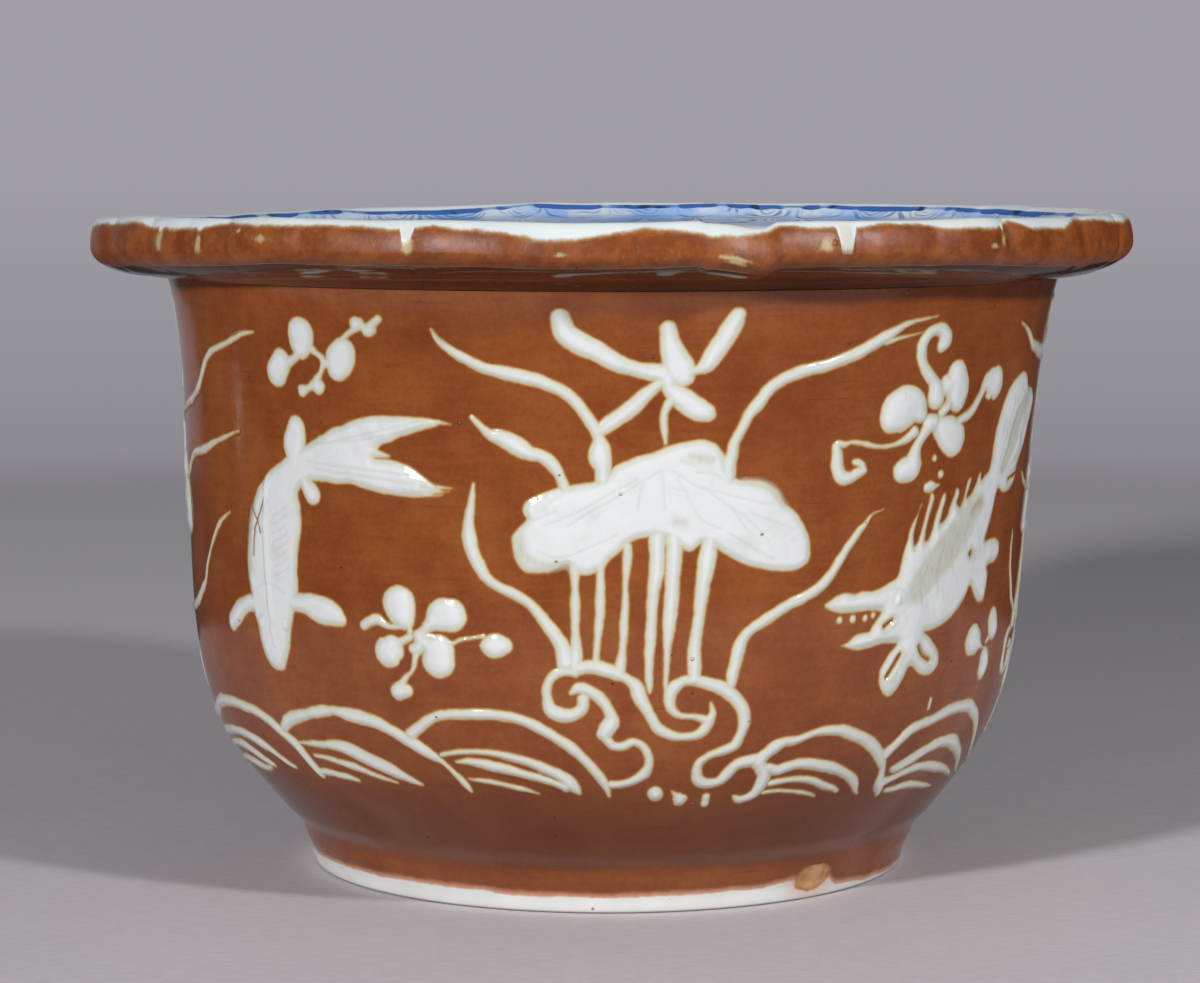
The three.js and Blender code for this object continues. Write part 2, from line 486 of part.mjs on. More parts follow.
// Ripples that lie by themselves under the waves, from left to right.
const RIPPLES = [
  [[[-82, 26.5, 1.5], [-72.9, 28.4, 1.3], [-64.4, 29.2, 1.4], [-57.7, 27.8, 1.4], [-52.8, 25.6, 0.6]]],
  [
    [[-82, 23.9, 1], [-72.9, 25.9, 1.1], [-66.8, 26.3, 1.4], [-60.5, 24.5, 1.1]],
    [[-82, 20.9, 1], [-72.9, 22.9, 1.1], [-66.8, 23, 1.4], [-60.5, 24.4, 1.1]],
  ],
  [[[-46, 30.5, 0.7], [-40.7, 30.8, 1.6], [-35.8, 29.4, 2.1], [-31.6, 27.6, 1.9], [-28, 25.7, 0.6]]],
  [[[-45, 28.4, 0.6], [-39.6, 27.6, 1.1], [-35.1, 26.3, 0.9], [-31.8, 25.4, 0.5]]],
  [
    [[-21.5, 31.6, 0.6], [-15.3, 31.8, 1], [-10.8, 30.5, 1.4], [-7, 28.2, 1.7], [-4.8, 25.8, 0.8]],
    [[-19.9, 30.1, 0.7], [-14.9, 29.3, 1.4], [-10.1, 27.9, 1.15], [-6.4, 27, 1.5]],
  ],
  [[[-19, 27, 0.5], [-15.3, 26.5, 0.75], [-12.9, 25.9, 0.7], [-10.8, 25.3, 0.4]]],
  [[[44.7, 26.1, 1.1], [48.6, 27.5, 1.6], [55.1, 29, 1.8], [61.1, 26.6, 1.7], [66.3, 22.5, 1],
    [68.8, 20.8, 0.5]]],
  [[[45.7, 21.6, 0.9], [50.6, 21.7, 1.2], [54.6, 20.85, 1], [58.8, 19.9, 0.5]]],
];

add("foot_ring", footRing(), CLEAR_GLAZE);
add("floor_disc", floorDisc(), CLEAR_GLAZE);
add("bowl_wall", bowlWall(), BROWN_GLAZE);
add("rim_flange", rimFlange(), CLEAR_GLAZE);

// The drawing is laid on twice, front and back, with a side clump after each, going to the right.
const FACES = [
  { face: "front", side: "right", turn: 0 },
  { face: "back", side: "left", turn: Math.PI },
];
const frontLotus = { bodies: LOTUS.bodies, lines: [...LOTUS.lines, ...FRONT_REEDS] };
const leaningLotus = moved(LOTUS, leaning);
const sideLotus = { bodies: leaningLotus.bodies, lines: [...leaningLotus.lines, ...SIDE_REEDS] };
for (const { face, side, turn } of FACES) {
  const motifs = {
    [`${face}_lotus`]: frontLotus,
    [`${side}_lotus`]: sideLotus,
    [`${face}_carp`]: CARP,
    [`${face}_spiny_fish`]: SPINY_FISH,
    [`${face}_waves_left`]: WAVES_LEFT,
    [`${face}_waves_right`]: WAVES_RIGHT,
  };
  for (const [name, sprig] of Object.entries(SPRIGS)) {
    motifs[`${face}_${name}`] = sprig;
  }
  RIPPLES.forEach((lines, i) => {
    motifs[`${face}_ripple_${i + 1}`] = { lines };
  });
  for (const [name, motif] of Object.entries(motifs)) {
    add(name, slip(motif), WHITE_SLIP).rotation.z = turn;
  }
}

export default pot;
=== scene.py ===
"""A Chinese jardiniere: a brown-glazed pot with a lobed rim, decorated in raised white slip.

Lengths are in millimetres and angles in degrees until a mesh is made; meshes are in metres.
Azimuth 0 is the front, towards -Y, and azimuths grow to the right as the front is seen.
"""
import math
import bpy
import numpy as np
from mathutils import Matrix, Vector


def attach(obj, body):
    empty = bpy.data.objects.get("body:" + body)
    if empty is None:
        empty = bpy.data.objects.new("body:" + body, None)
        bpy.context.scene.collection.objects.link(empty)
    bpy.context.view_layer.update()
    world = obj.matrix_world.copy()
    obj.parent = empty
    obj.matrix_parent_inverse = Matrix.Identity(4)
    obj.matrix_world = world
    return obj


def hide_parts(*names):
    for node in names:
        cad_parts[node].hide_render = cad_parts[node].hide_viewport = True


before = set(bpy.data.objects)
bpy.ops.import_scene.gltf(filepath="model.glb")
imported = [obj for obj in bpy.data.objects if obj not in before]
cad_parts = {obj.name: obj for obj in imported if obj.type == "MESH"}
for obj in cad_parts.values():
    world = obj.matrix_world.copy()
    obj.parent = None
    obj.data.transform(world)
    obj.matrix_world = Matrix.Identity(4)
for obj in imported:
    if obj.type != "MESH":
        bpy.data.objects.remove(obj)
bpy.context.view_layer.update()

MM = 0.001
PER_METRE = 1000  # divided by a size in mm, this is the scale of a pattern with features of that size

# Sizes of the thrown pot as radius and height, as the CAD model has them
FOOT = (83.2, 0.0)
FOOT_TOP = (85.4, 9.7)
HAUNCH = (91.8, 17.6)
BELLY = (115.3, 68.0)
NECK = (124.2, 164.0)
CREASE = (124.5, 165.0)
BELLY_LEAN = 0.116
WALL = 7.3
WIDEST = (145.0, 174.5)
LIP_TOP = (141.5, 182.6)
BEHIND_LIP = (135.0, 178.5)
MOUTH = (120.8, 175.6)
THROAT = (116.9, 169.1)
FLOOR_TOP = 18.1
GAP = 0.3
SEGMENTS = 384
RIM_SEGMENTS = 900


# The outline, and places on it

def bezier(a, b, c, d, count):
    """Points of a cubic curve: a(1-t)^3 + 3b t(1-t)^2 + 3c t^2(1-t) + d t^3."""
    t = np.linspace(0, 1, count)[:, None]
    a, b, c, d = (np.array(p, float) for p in (a, b, c, d))
    return a * (1 - t) ** 3 + 3 * b * t * (1 - t) ** 2 + 3 * c * t ** 2 * (1 - t) + d * t ** 3


def within(a, b, x, y):
    """The point in the box from a to b at a share x of its width and y of its height."""
    return (a[0] + (b[0] - a[0]) * x, a[1] + (b[1] - a[1]) * y)


def bend(a, b, first, second, count):
    """A cubic curve from a to b, whose two handles are shares of the box between them."""
    return bezier(a, within(a, b, *first), within(a, b, *second), b, count)


def past_belly(up):
    """The handle that far above the belly, on the one line by which the wall passes it."""
    return (BELLY[0] + BELLY_LEAN * up, BELLY[1] + up)


def along(section):
    """The way along a section in mm, from its first point."""
    return np.concatenate([[0], np.cumsum(np.hypot(*np.diff(section, axis=0).T))])


below = (HAUNCH[1] - BELLY[1]) * 0.6
above = (NECK[1] - BELLY[1]) * 0.23
outline = np.concatenate([
    np.linspace(FOOT, FOOT_TOP, 20),
    bend(FOOT_TOP, HAUNCH, (0.12, 0.44), (0.47, 0.57), 60)[1:],
    bezier(HAUNCH, within(HAUNCH, BELLY, 0.43, 0.24), past_belly(below), BELLY, 300)[1:],
    bezier(BELLY, past_belly(above), within(BELLY, NECK, 0.28, 0.79), NECK, 500)[1:],
])
arc = along(outline)
LENGTH = arc[-1]
PERCENT = LENGTH / 100
slope = np.gradient(outline, arc, axis=0)
slope /= np.hypot(slope[:, 0], slope[:, 1])[:, None]
DEGREE = np.interp(0.69 * LENGTH, arc, outline[:, 0]) * math.radians(1)

# How the thrown body lies off its axis, to the right in mm, and how far its wall swells, at heights in mm
OFF_AXIS = [(0, -0.9), (8, -0.7), (15, -0.3), (25, -0.8), (36, -1.5), (50, -1.5), (72, -1.5), (90, -1.2),
            (105, -1.0), (120, -0.6), (135, 0.0), (150, 0.4), (160, 0.7), (166, 0.5), (174, 0), (184, 0)]
SWELL = [(0, 0), (3, -0.2), (4.8, -0.3), (6.3, 0.1), (8, 0.6), (10, 0.9), (12, 0.8), (16, 0.5), (20, 0.3),
         (26, 0.1), (32, 0), (184, 0)]
LEVEL_STEP = 0.25
LEVELS = np.arange(-10, 194, LEVEL_STEP)


def eased(table, reach):
    """A table of heights and values as values at LEVELS, smoothed by a bell of that reach in mm."""
    bell = np.exp(-(np.arange(-4 * reach, 4 * reach + 0.1, LEVEL_STEP) / reach) ** 2)
    values = np.pad(np.interp(LEVELS, *zip(*table)), len(bell) // 2, "edge")
    return np.convolve(values, bell / bell.sum(), "valid")[:len(LEVELS)]


off_axis, swell = eased(OFF_AXIS, 4.0), eased(SWELL, 1.5)


def by_hand(places):
    """Places on the turned pot, moved as the real one stands off its axis and swells."""
    x, y, z = places.T
    share = np.interp(z, LEVELS, swell) / np.maximum(np.hypot(x, y), 1)
    return np.stack([x * (1 + share) + np.interp(z, LEVELS, off_axis), y * (1 + share), z], -1)


def place(degrees, percent, lift):
    """Points over the wall: that far round, that far up the outline, and lifted along its normal."""
    s = np.asarray(percent) * PERCENT
    radius, z, dr, dz = (np.interp(s, arc, line) for line in (*outline.T, *slope.T))
    azimuth = np.radians(degrees)
    r = radius + dz * lift
    return np.stack([r * np.sin(azimuth), -r * np.cos(azimuth), z - dr * lift], -1)


def kept_in_view(degrees, percent):
    """Azimuths that keep their place from left to right though the wall has moved off the axis by some mm.

    A step of m mm to the right is undone by 1.06 m cos a / (r (cos^2 a + 0.06)), which fades at the sides.
    """
    s = percent * PERCENT
    radius, z = (np.interp(s, arc, line) for line in outline.T)
    ahead = np.cos(np.radians(degrees))
    return degrees - np.degrees(np.interp(z, LEVELS, off_axis) / radius * 1.06 * ahead / (ahead ** 2 + 0.06))


def waves(x, y, length, seed, count=14):
    """Smooth noise between about -1 and 1: a sum of sines in random directions, all near one wavelength."""
    rng = np.random.default_rng(seed)
    total = np.zeros(np.broadcast(x, y).shape)
    for _ in range(count):
        turn, phase = rng.uniform(0, 2 * np.pi, 2)
        k = 2 * np.pi / (length * rng.uniform(0.7, 1.6))
        total = total + np.sin(k * (x * np.cos(turn) + y * np.sin(turn)) + phase)
    return total / math.sqrt(count)


# Meshes

def make_object(name, places, faces, material, attributes=None, smooth=None):
    """An object with its place in its mesh: attributes are floats a vertex, smooth counts smooth faces."""
    mesh = bpy.data.meshes.new(name)
    mesh.from_pydata((places * MM).tolist(), [], faces)
    for key, values in (attributes or {}).items():
        layer = mesh.attributes.new(key, "FLOAT", "POINT")
        layer.data.foreach_set("value", np.ascontiguousarray(values, np.float32).ravel())
    mesh.polygons.foreach_set("use_smooth", np.arange(len(faces)) < (smooth or len(faces)))
    mesh.materials.append(material)
    mesh.set_sharp_from_angle(angle=math.radians(50))
    mesh.update()
    piece = bpy.data.objects.new(name, mesh)
    bpy.context.collection.objects.link(piece)
    return piece


def turned(name, section, segments, material, attributes=None, shape=None, poles=()):
    """A closed section turned round the axis: (r sin a, -r cos a, z), a from 0 to 360.

    The section runs anticlockwise with the axis on its left. shape(a, r, z) may change r and z, as whole
    arrays with a row a point of the section. attributes(a, r, z) gives the floats a vertex by name. Two poles
    are heights on the axis from which the section starts and at which it ends, instead of closing on itself.
    """
    rows = len(section)
    azimuth = np.arange(segments) * (2 * np.pi / segments)
    degrees = np.degrees(azimuth)[None, :]
    r, z = (np.repeat(column[:, None], segments, 1) for column in section.T)
    values = attributes(degrees, r, z) if attributes else {}
    if shape:
        r, z = shape(degrees, r, z)
    places = np.stack([r * np.sin(azimuth), -r * np.cos(azimuth), z], -1).reshape(-1, 3)
    i, j = np.meshgrid(np.arange(rows), np.arange(segments), indexing="ij")
    k, l = (i + 1) % rows, (j + 1) % segments
    quads = np.stack([i * segments + j, i * segments + l, k * segments + l, k * segments + j], -1)
    if not poles:
        return make_object(name, by_hand(places), quads.reshape(-1, 4).tolist(), material, values)
    first, last = len(places), len(places) + 1
    places = np.concatenate([places, [(0, 0, height) for height in poles]])
    closing = quads[-1].tolist()
    fans = [(first, b, a) for _, _, b, a in closing] + [(a, b, last) for a, b, _, _ in closing]
    return make_object(name, by_hand(places), quads[:-1].reshape(-1, 4).tolist() + fans, material, values)


def finished(piece, node):
    """Joins a piece to the pot: it stands for its CAD node, which it hides."""
    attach(piece, "root")
    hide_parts(node)


# Materials

# The shader nodes used, by plain words: which kind each is, with its settings
NODES = {
    "coordinates": ("TexCoord", {}), "attribute": ("Attribute", {}), "ray": ("LightPath", {}),
    "apart": ("SeparateXYZ", {}), "stretch": ("Mapping", {}), "noise": ("TexNoise", {}),
    "cells": ("TexVoronoi", {}), "range": ("MapRange", {}), "bump": ("Bump", {}),
    "step": ("MapRange", {"interpolation_type": "SMOOTHSTEP"}), "lay": ("Mix", {"data_type": "RGBA"}),
    "either": ("MixShader", {}), "clear": ("BsdfTransparent", {}), "falloff": ("LightFalloff", {}),
    "offset": ("VectorMath", {"operation": "SUBTRACT"}), "scaled": ("VectorMath", {"operation": "MULTIPLY"}),
    "length": ("VectorMath", {"operation": "LENGTH"}),
}
SUMS = {"plus": "ADD", "minus": "SUBTRACT", "times": "MULTIPLY", "times plus": "MULTIPLY_ADD",
        "most": "MAXIMUM", "close to": "COMPARE", "less than": "LESS_THAN", "size": "ABSOLUTE",
        "root": "SQRT", "fraction": "FRACT", "to and fro": "PINGPONG", "angle": "ARCTAN2"}
NODES.update((word, ("Math", {"operation": operation})) for word, operation in SUMS.items())


def colour(code):
    """A colour written as sRGB hex, as the linear values that a shader takes."""
    parts = [int(code[i:i + 2], 16) / 255 for i in (1, 3, 5)]
    return tuple(p / 12.92 if p <= 0.04045 else ((p + 0.055) / 1.055) ** 2.4 for p in parts) + (1.0,)


def put(socket, value):
    """Gives an input its value: a socket is linked, hex is a colour, and None leaves it as it is."""
    if isinstance(value, bpy.types.NodeSocket):
        socket.id_data.links.new(value, socket)
    elif value is not None:
        socket.default_value = colour(value) if isinstance(value, str) else value


def adder(tree):
    """The function that adds a node to this tree, by its word, with values for its inputs in order."""
    def add(word, *values, out=None, **settings):
        kind, usual = NODES[word]
        node = tree.nodes.new("ShaderNode" + kind)
        for key, value in {**usual, **settings}.items():
            setattr(node, key, value)
        for socket, value in zip([socket for socket in node.inputs if socket.enabled], values):
            put(socket, value)
        return node.outputs[out] if out else next(socket for socket in node.outputs if socket.enabled)
    return add


def new_material(name):
    """A material, the function that adds its nodes, and its main shader."""
    material = bpy.data.materials.new(name)
    material.use_nodes = True
    tree = material.node_tree
    return material, adder(tree), tree.nodes["Principled BSDF"]


def fired(name, recipe):
    """The material of a glaze. Its recipe gives the colour, the height in mm, the roughness and the IOR."""
    material, add, shader = new_material(name)
    skin, relief, rough, ior = recipe(add, add("coordinates", out="Object"))
    put(shader.inputs["Base Color"], skin)
    put(shader.inputs["Roughness"], rough)
    put(shader.inputs["IOR"], ior)
    put(shader.inputs["Normal"], add("bump", 1.0, MM, None, relief))
    return material


def specks(add, places, step, size, chance):
    """1 in round specks: one to a cell of step mm where a random number is under the chance."""
    cells = add("cells", places, PER_METRE / step).node
    near = add("step", cells.outputs["Distance"], size / step, 0.4 * size / step, 0.0, 1.0)
    return add("times", near, add("less than", add("apart", cells.outputs["Color"]), chance))


def brown_parts(add, places):
    """Colour and height (mm) of the brown glaze, the same on the wall, on the rim and where slip runs out.

    A thin iron glaze: warm brown, redder where thick and more orange where thin, in soft clouds of 30 mm,
    with fine level streaks and dark hairs left by the turning, iron specks and a few glassy blisters. It is
    darker low down, most at about 20 mm up, and orange again on the foot.
    """
    clouds = add("noise", places, PER_METRE / 34, 4.0, 0.6)
    runs = add("noise", places, PER_METRE / 14, 4.0, 0.6)
    brushed = add("noise", add("stretch", places, None, None, (0.08, 0.08, 1)), PER_METRE / 1.8, 4.0, 0.75)
    grain = add("noise", places, PER_METRE / 1.2, 4.0, 0.7)
    level = add("times plus", brushed, 0.5, add("plus", clouds, runs))
    level = add("times plus", grain, 0.7, level)
    body = add("lay", add("step", level, 1.15, 2.15, 0.0, 1.0), "#7a3b1c", "#965629")
    height = add("apart", places).node.outputs["Z"]
    low = add("step", height, 52 * MM, 20 * MM, 0.0, 0.6)
    low = add("times", low, add("step", height, 4 * MM, 22 * MM, 0.0, 1.0))
    body = add("lay", low, body, "#522305")
    hairs = add("noise", add("stretch", places, None, None, (0.03, 0.03, 1)), PER_METRE / 0.9, 3.0, 0.6)
    body = add("lay", add("step", hairs, 0.64, 0.74, 0.0, 0.4), body, "#522810")
    iron = specks(add, places, 5.0, 0.45, 0.1)
    body = add("lay", iron, body, "#35180c")
    body = add("lay", specks(add, places, 24.0, 1.3, 0.12), body, "#4c200c")
    relief = add("times", add("noise", places, PER_METRE / 5, 2.0, 0.5), 0.05)
    relief = add("times plus", iron, -0.05, relief)
    relief = add("times plus", specks(add, places, 10.0, 0.6, 0.25), 0.5, relief)
    return body, relief


def brown_glaze(add, places):
    """Iron-brown glaze over stoneware, thrown, dipped and fired: glassy, with faint unevenness underneath.

    'inside' is 1 on the pot's inner wall, which is clear-glazed white.
    """
    skin, relief = brown_parts(add, places)
    skin = add("lay", add("attribute", out="Fac", attribute_name="inside"), skin, "#d3d9d3")
    return skin, relief, 0.13, 1.47


def white_glaze(add, places):
    """Clear glaze over white body, dipped and fired: greenish white, glassy, with a soft skin."""
    skin = add("lay", add("noise", places, PER_METRE / 25, 3.0, 0.55), "#c9d1cb", "#e2e6e1")
    relief = add("times", add("noise", places, PER_METRE / 4, 2.0, 0.5), 0.05)
    return skin, relief, 0.12, 1.5


SCAR = (53.9 * MM, -64.7 * MM, 6.2 * MM)  # the middle of the burst blister on the foot


def foot_glaze(add, places):
    """The foot: brown glaze above, wiped back to clear-glazed white body low down, along a hand-drawn edge.

    The edge is blurred and salmon, where brown was left thin, and the standing edge is worn. 'wiped' is the
    edge's height in mm. At the front right a blister of the glaze has burst and left a tan, pitted scar.
    """
    brown, relief = brown_parts(add, places)
    height = add("apart", places).node.outputs["Z"]
    edge = add("range", add("noise", places, PER_METRE / 14, 3.0, 0.55), 0.3, 0.7, -0.45 * MM, 0.45 * MM)
    edge = add("times plus", add("attribute", out="Fac", attribute_name="wiped"), MM, edge)
    fuzz = add("range", add("noise", places, PER_METRE / 1.5, 3.0, 0.55), 0.2, 0.8, -0.15 * MM, 0.15 * MM)
    over = add("plus", add("minus", height, edge), fuzz)
    white = add("lay", add("noise", places, PER_METRE / 12, 3.0, 0.55), "#cdd0cd", "#e9eae6")
    skin = add("lay", add("step", height, 0.9 * MM, 0.1 * MM, 0.0, 0.75), white, "#8d7a66")
    skin = add("lay", specks(add, places, 5.0, 0.6, 0.12), skin, "#a3713f")
    skin = add("lay", add("step", over, -0.45 * MM, 0.1 * MM, 0.0, 1.0), skin, "#cf9a78")
    skin = add("lay", add("step", over, -0.2 * MM, 1.8 * MM, 0.0, 1.0), skin, brown)
    away = add("length", add("scaled", add("offset", places, SCAR), (1.0, 1.0, 1.6)))
    away = add("times plus", add("noise", places, PER_METRE / 3, 3.0, 0.55), 2.0 * MM, away)
    blush = add("step", away, 15.0 * MM, 5.0 * MM, 0.0, 0.6)
    blush = add("times", blush, add("step", over, 0.6 * MM, -0.4 * MM, 0.0, 1.0))
    skin = add("lay", blush, skin, "#d9a687")
    pitted = add("step", add("noise", places, PER_METRE / 3.5, 3.0, 0.55), 0.35, 0.65, 0.0, 1.0)
    burst = add("lay", pitted, "#b47c40", "#cf9f6b")
    burst = add("lay", add("step", away, 5.6 * MM, 7.4 * MM, 0.0, 0.6), burst, "#93541c")
    skin = add("lay", add("step", away, 8.2 * MM, 6.8 * MM, 0.0, 0.95), skin, burst)
    return skin, relief, 0.18, 1.47


def cobalt_border(add, places, across):
    """Where cobalt lies on the rim's top: how strong its wash is, how strong its lines, and where it pooled.

    A broad brushed line goes up and down along the border's outer edge. Inside it lie rows of round crests
    side by side, each with an outline and fine arcs in it, the next row showing between them. 'inset' is how
    much further in than usual the border starts, in mm.
    """
    turn = add("apart", places).node.outputs
    drift = add("range", add("noise", places, PER_METRE / 20, 2.0, 0.55), 0.3, 0.7, -0.25, 0.25)
    cell = add("times plus", add("angle", turn["X"], turn["Y"]), CRESTS / (2 * math.pi), drift)
    wobble = add("range", add("noise", places, PER_METRE / 30, 2.0, 0.55), 0.3, 0.7, -0.5, 0.5)
    way = add("plus", across, wobble)
    way = add("minus", way, add("attribute", out="Fac", attribute_name="inset"))
    pressure = add("step", add("noise", places, PER_METRE / 13, 2.0, 0.55), 0.35, 0.62, 0.0, 1.0)
    patches = add("step", add("noise", places, PER_METRE / 24, 2.0, 0.55), 0.38, 0.6, 0.0, 1.0)
    lines = add("close to", way, BORDER_START + 0.9, add("times plus", pressure, 1.2, 0.5))
    for shift, start in ((0.0, BORDER_START), (0.5, BORDER_START + CREST_WIDTH * 0.42)):
        share = add("fraction", add("plus", cell, shift))
        side = add("range", share, 0.0, 1.0, -CREST_WIDTH / 2, CREST_WIDTH / 2)
        up = add("minus", way, start)
        radius = add("root", add("times plus", up, up, add("times", side, side)))
        arcs = add("step", add("to and fro", radius, 0.9), 0.2, 0.8, 0.0, 0.75)
        crest = add("times", add("close to", radius, CREST_WIDTH * 0.46, 0.6), add("times", pressure, 0.7))
        drawn = add("most", add("times", arcs, patches), crest)
        drawn = add("times", drawn, add("less than", radius, CREST_WIDTH * 0.5))
        drawn = add("times", drawn, add("step", up, 1.5, 3.5, 0.15, 1.0))
        lines = add("most", lines, drawn)
    begun = add("step", way, BORDER_START - 0.2, BORDER_START + 0.5, 0.0, 1.0)
    band = add("times", begun, add("step", way, BORDER_END + 0.6, BORDER_END - 0.4, 0.0, 1.0))
    thinned = add("step", add("noise", places, PER_METRE / 22, 3.0, 0.55), 0.36, 0.6, 0.25, 1.0)
    lines = add("times", add("times", lines, band), add("step", pressure, 0.0, 0.5, 0.5, 1.0))
    pools = add("step", add("noise", places, PER_METRE / 9, 2.0, 0.55), 0.56, 0.66, 0.0, 0.8)
    return add("times", band, thinned), lines, add("times", lines, pools)


def rim_glaze(add, places):
    """The rim: brown outside, its glaze pulled thin on the lip and pinches, clear-glazed white above.

    The broad top has a border of traditional waves brushed in cobalt under the glaze. 'across' is the way
    over the rim in mm, 'down' how far the white comes down the lip in mm, 'pinch' is 1 in a sharp pinch,
    where the glaze has gathered dark, and 'cream' is 1 where it is so thin that the white shows through.
    """
    brown, relief = brown_parts(add, places)
    across, down, pinch, cream = (add("attribute", out="Fac", attribute_name=name)
                                  for name in ("across", "down", "pinch", "cream"))

    # Where the brown ends: a soft line that wanders, and runs down in some pinches
    edge = add("noise", places, PER_METRE / 9, 3.0, 0.55)
    edge = add("minus", add("range", edge, 0.25, 0.75, LIP_EDGE - 0.6, LIP_EDGE + 0.6), down)
    edge = add("times plus", add("noise", places, PER_METRE / 1.3, 3.0, 0.7), 0.9, edge)
    over = add("minus", across, edge)

    # The lip's face: clouded, with pinkish patches that are partly the glaze's own haze and partly a painted
    # sheen, and small cream spots where the glaze is thin. The rim's underside below the face is painted dark
    # as shade, and a thin pale line along the face's lower edge is a painted reflection.
    rolled = add("range", add("noise", places, PER_METRE / 16, 2.0, 0.55), 0.3, 0.7, 5.2, 6.2)
    rolled = add("plus", across, rolled)
    face = add("step", rolled, LIP_START - 0.4, LIP_START + 0.2, 0.0, 1.0)
    clouded = add("step", add("noise", places, PER_METRE / 7, 5.0, 0.7), 0.38, 0.62, 0.0, 1.0)
    warm = add("lay", 0.7, brown, add("lay", clouded, "#6f310c", "#914d1b"))
    # Painted shade: the underside of the rim, below the face, is painted dark brown.
    brown = add("lay", face, "#4a2008", warm)
    # Painted reflection: a thin pale line along the lower edge of the face.
    brown = add("lay", add("close to", rolled, LIP_START - 0.3, 0.13), brown, "#96704f")
    # Pinkish patches on the face: partly the glaze's own haze, partly a painted sheen.
    haze_and_painted_sheen = add("step", add("noise", places, PER_METRE / 10, 5.0, 0.7), 0.48, 0.7, 0.0, 0.15)
    brown = add("lay", add("times", haze_and_painted_sheen, face), brown, "#a46c4c")
    ragged = add("range", add("noise", places, PER_METRE / 2.2, 3.0, 0.7), 0.3, 0.7, -0.3, 0.3)
    brown = add("lay", add("step", add("plus", cream, ragged), 0.1, 0.9, 0.0, 0.8), brown, "#baab7e")
    brown = add("lay", add("times", add("step", pinch, 0.3, 0.9, 0.0, 0.5), face), brown, "#5a2a0c")
    brown = add("lay", add("step", over, -1.1, 0.1, 0.0, 0.7), brown, "#a98b58")

    # The white above it, its cobalt border, and the creamy white where it ran down the lip
    white = add("lay", add("noise", places, PER_METRE / 20, 3.0, 0.55), "#c9d1d1", "#e2e8e8")
    for share, paint in zip(cobalt_border(add, places, across), ("#92b4e4", "#3c63a4", "#1c3340")):
        white = add("lay", share, white, paint)
    outside = add("step", across, BORDER_START - 3, BORDER_START - 5, 0.0, 1.0)
    white = add("lay", add("times", add("step", down, 2.2, 5.5, 0.0, 0.6), outside), white, "#c9c6ad")
    fading = add("step", down, 1.5, 5.0, 0.0, 2.2)
    skin = add("lay", add("step", over, add("minus", -0.4, fading), 0.7, 0.0, 1.0), brown, white)

    bubbles = add("times", specks(add, places, 9.0, 1.0, 0.14), face)
    relief = add("times plus", bubbles, 0.3, relief)
    peel = add("times", add("noise", places, PER_METRE / 2.4, 3.0, 0.6), add("times", face, 0.08))
    rough = add("plus", add("times", face, add("step", over, 0.5, -0.5, 0.0, 0.27)), 0.13)
    return skin, add("plus", relief, peel), rough, 1.4


# The slip's colours from its edge inwards: from and to which depth in mm, how strong, and the colour
EDGE_TONES = [(-0.8, -0.25, 0.55, "#94571b"), (-0.4, 0.0, 0.9, "#b58f58"), (-0.1, 0.35, 1.0, "#c9c0a4"),
              (0.2, 0.9, 1.0, "#cdcfc5"), (0.8, 2.2, 1.0, "#dcdfdf")]
INCISED, SCRATCHED, PINHOLE = 1.0, 2.0, 3.0


def slip_glaze(add, places):
    """White slip trailed on under the glaze: soft at its edges, cream and then tan, and greenish if thin.

    'deep' is the way in from the slip's edge in mm, 'thin' is 1 where it was scraped thin, and 'cut' is 1 in
    an incised line, 2 in one that goes through to the brown, and 3 in a pinhole.
    """
    skin, relief = brown_parts(add, places)
    deep, cut, thin = (add("attribute", out="Fac", attribute_name=name) for name in ("deep", "cut", "thin"))
    uneven = add("range", add("noise", places, PER_METRE / 3.5, 3.0, 0.6), 0.25, 0.75, -0.16, 0.16)
    thick = add("times plus", thin, -0.55, add("plus", deep, uneven))
    for low, high, most, tone in EDGE_TONES:
        skin = add("lay", add("step", thick, low, high, 0.0, most), skin, tone)
    clouds = add("step", add("noise", places, PER_METRE / 9, 3.0, 0.6), 0.5, 0.75, 0.0, 0.45)
    skin = add("lay", add("times", clouds, add("step", thick, 0, 0.5, 0.0, 1.0)), skin, "#c3cbc4")
    skin = add("lay", specks(add, places, 5.0, 0.42, 0.07), skin, "#4d4a44")
    brushed = add("noise", add("stretch", places, None, None, (1, 1, 0.35)), PER_METRE / 1.4, 4.0, 0.75)
    brushed = add("step", brushed, 0.45, 0.75, 0.0, 0.5)
    skin = add("lay", add("times", thin, 0.75), skin, "#c3c4b6")
    skin = add("lay", add("times", brushed, thin), skin, "#aba892")
    skin = add("lay", add("step", cut, 0.0, INCISED, 0.0, 0.16), skin, "#9ba09a")
    skin = add("lay", add("step", cut, INCISED + 0.1, SCRATCHED - 0.3, 0.0, 0.85), skin, "#94622f")
    skin = add("lay", add("step", cut, SCRATCHED + 0.2, PINHOLE - 0.2, 0.0, 0.9), skin, "#3d342b")
    relief = add("times plus", add("noise", places, PER_METRE / 2.2, 2.0, 0.5), 0.05, relief)
    return skin, relief, 0.14, 1.5


# The thrown pot

def inner_line(count):
    """The wall's inner line, one wall's thickness inside the outline, from the foot ring up to the neck."""
    s = np.linspace(0.085, 0.93, count) * LENGTH
    r, z, dr, dz = (np.interp(s, arc, line) for line in (*outline.T, *slope.T))
    middle = np.stack([r - dz * WALL, z + dr * WALL], -1)
    return np.concatenate([[(FOOT_TOP[0] - WALL, FOOT_TOP[1])], middle, [(NECK[0] - WALL, CREASE[1])]])


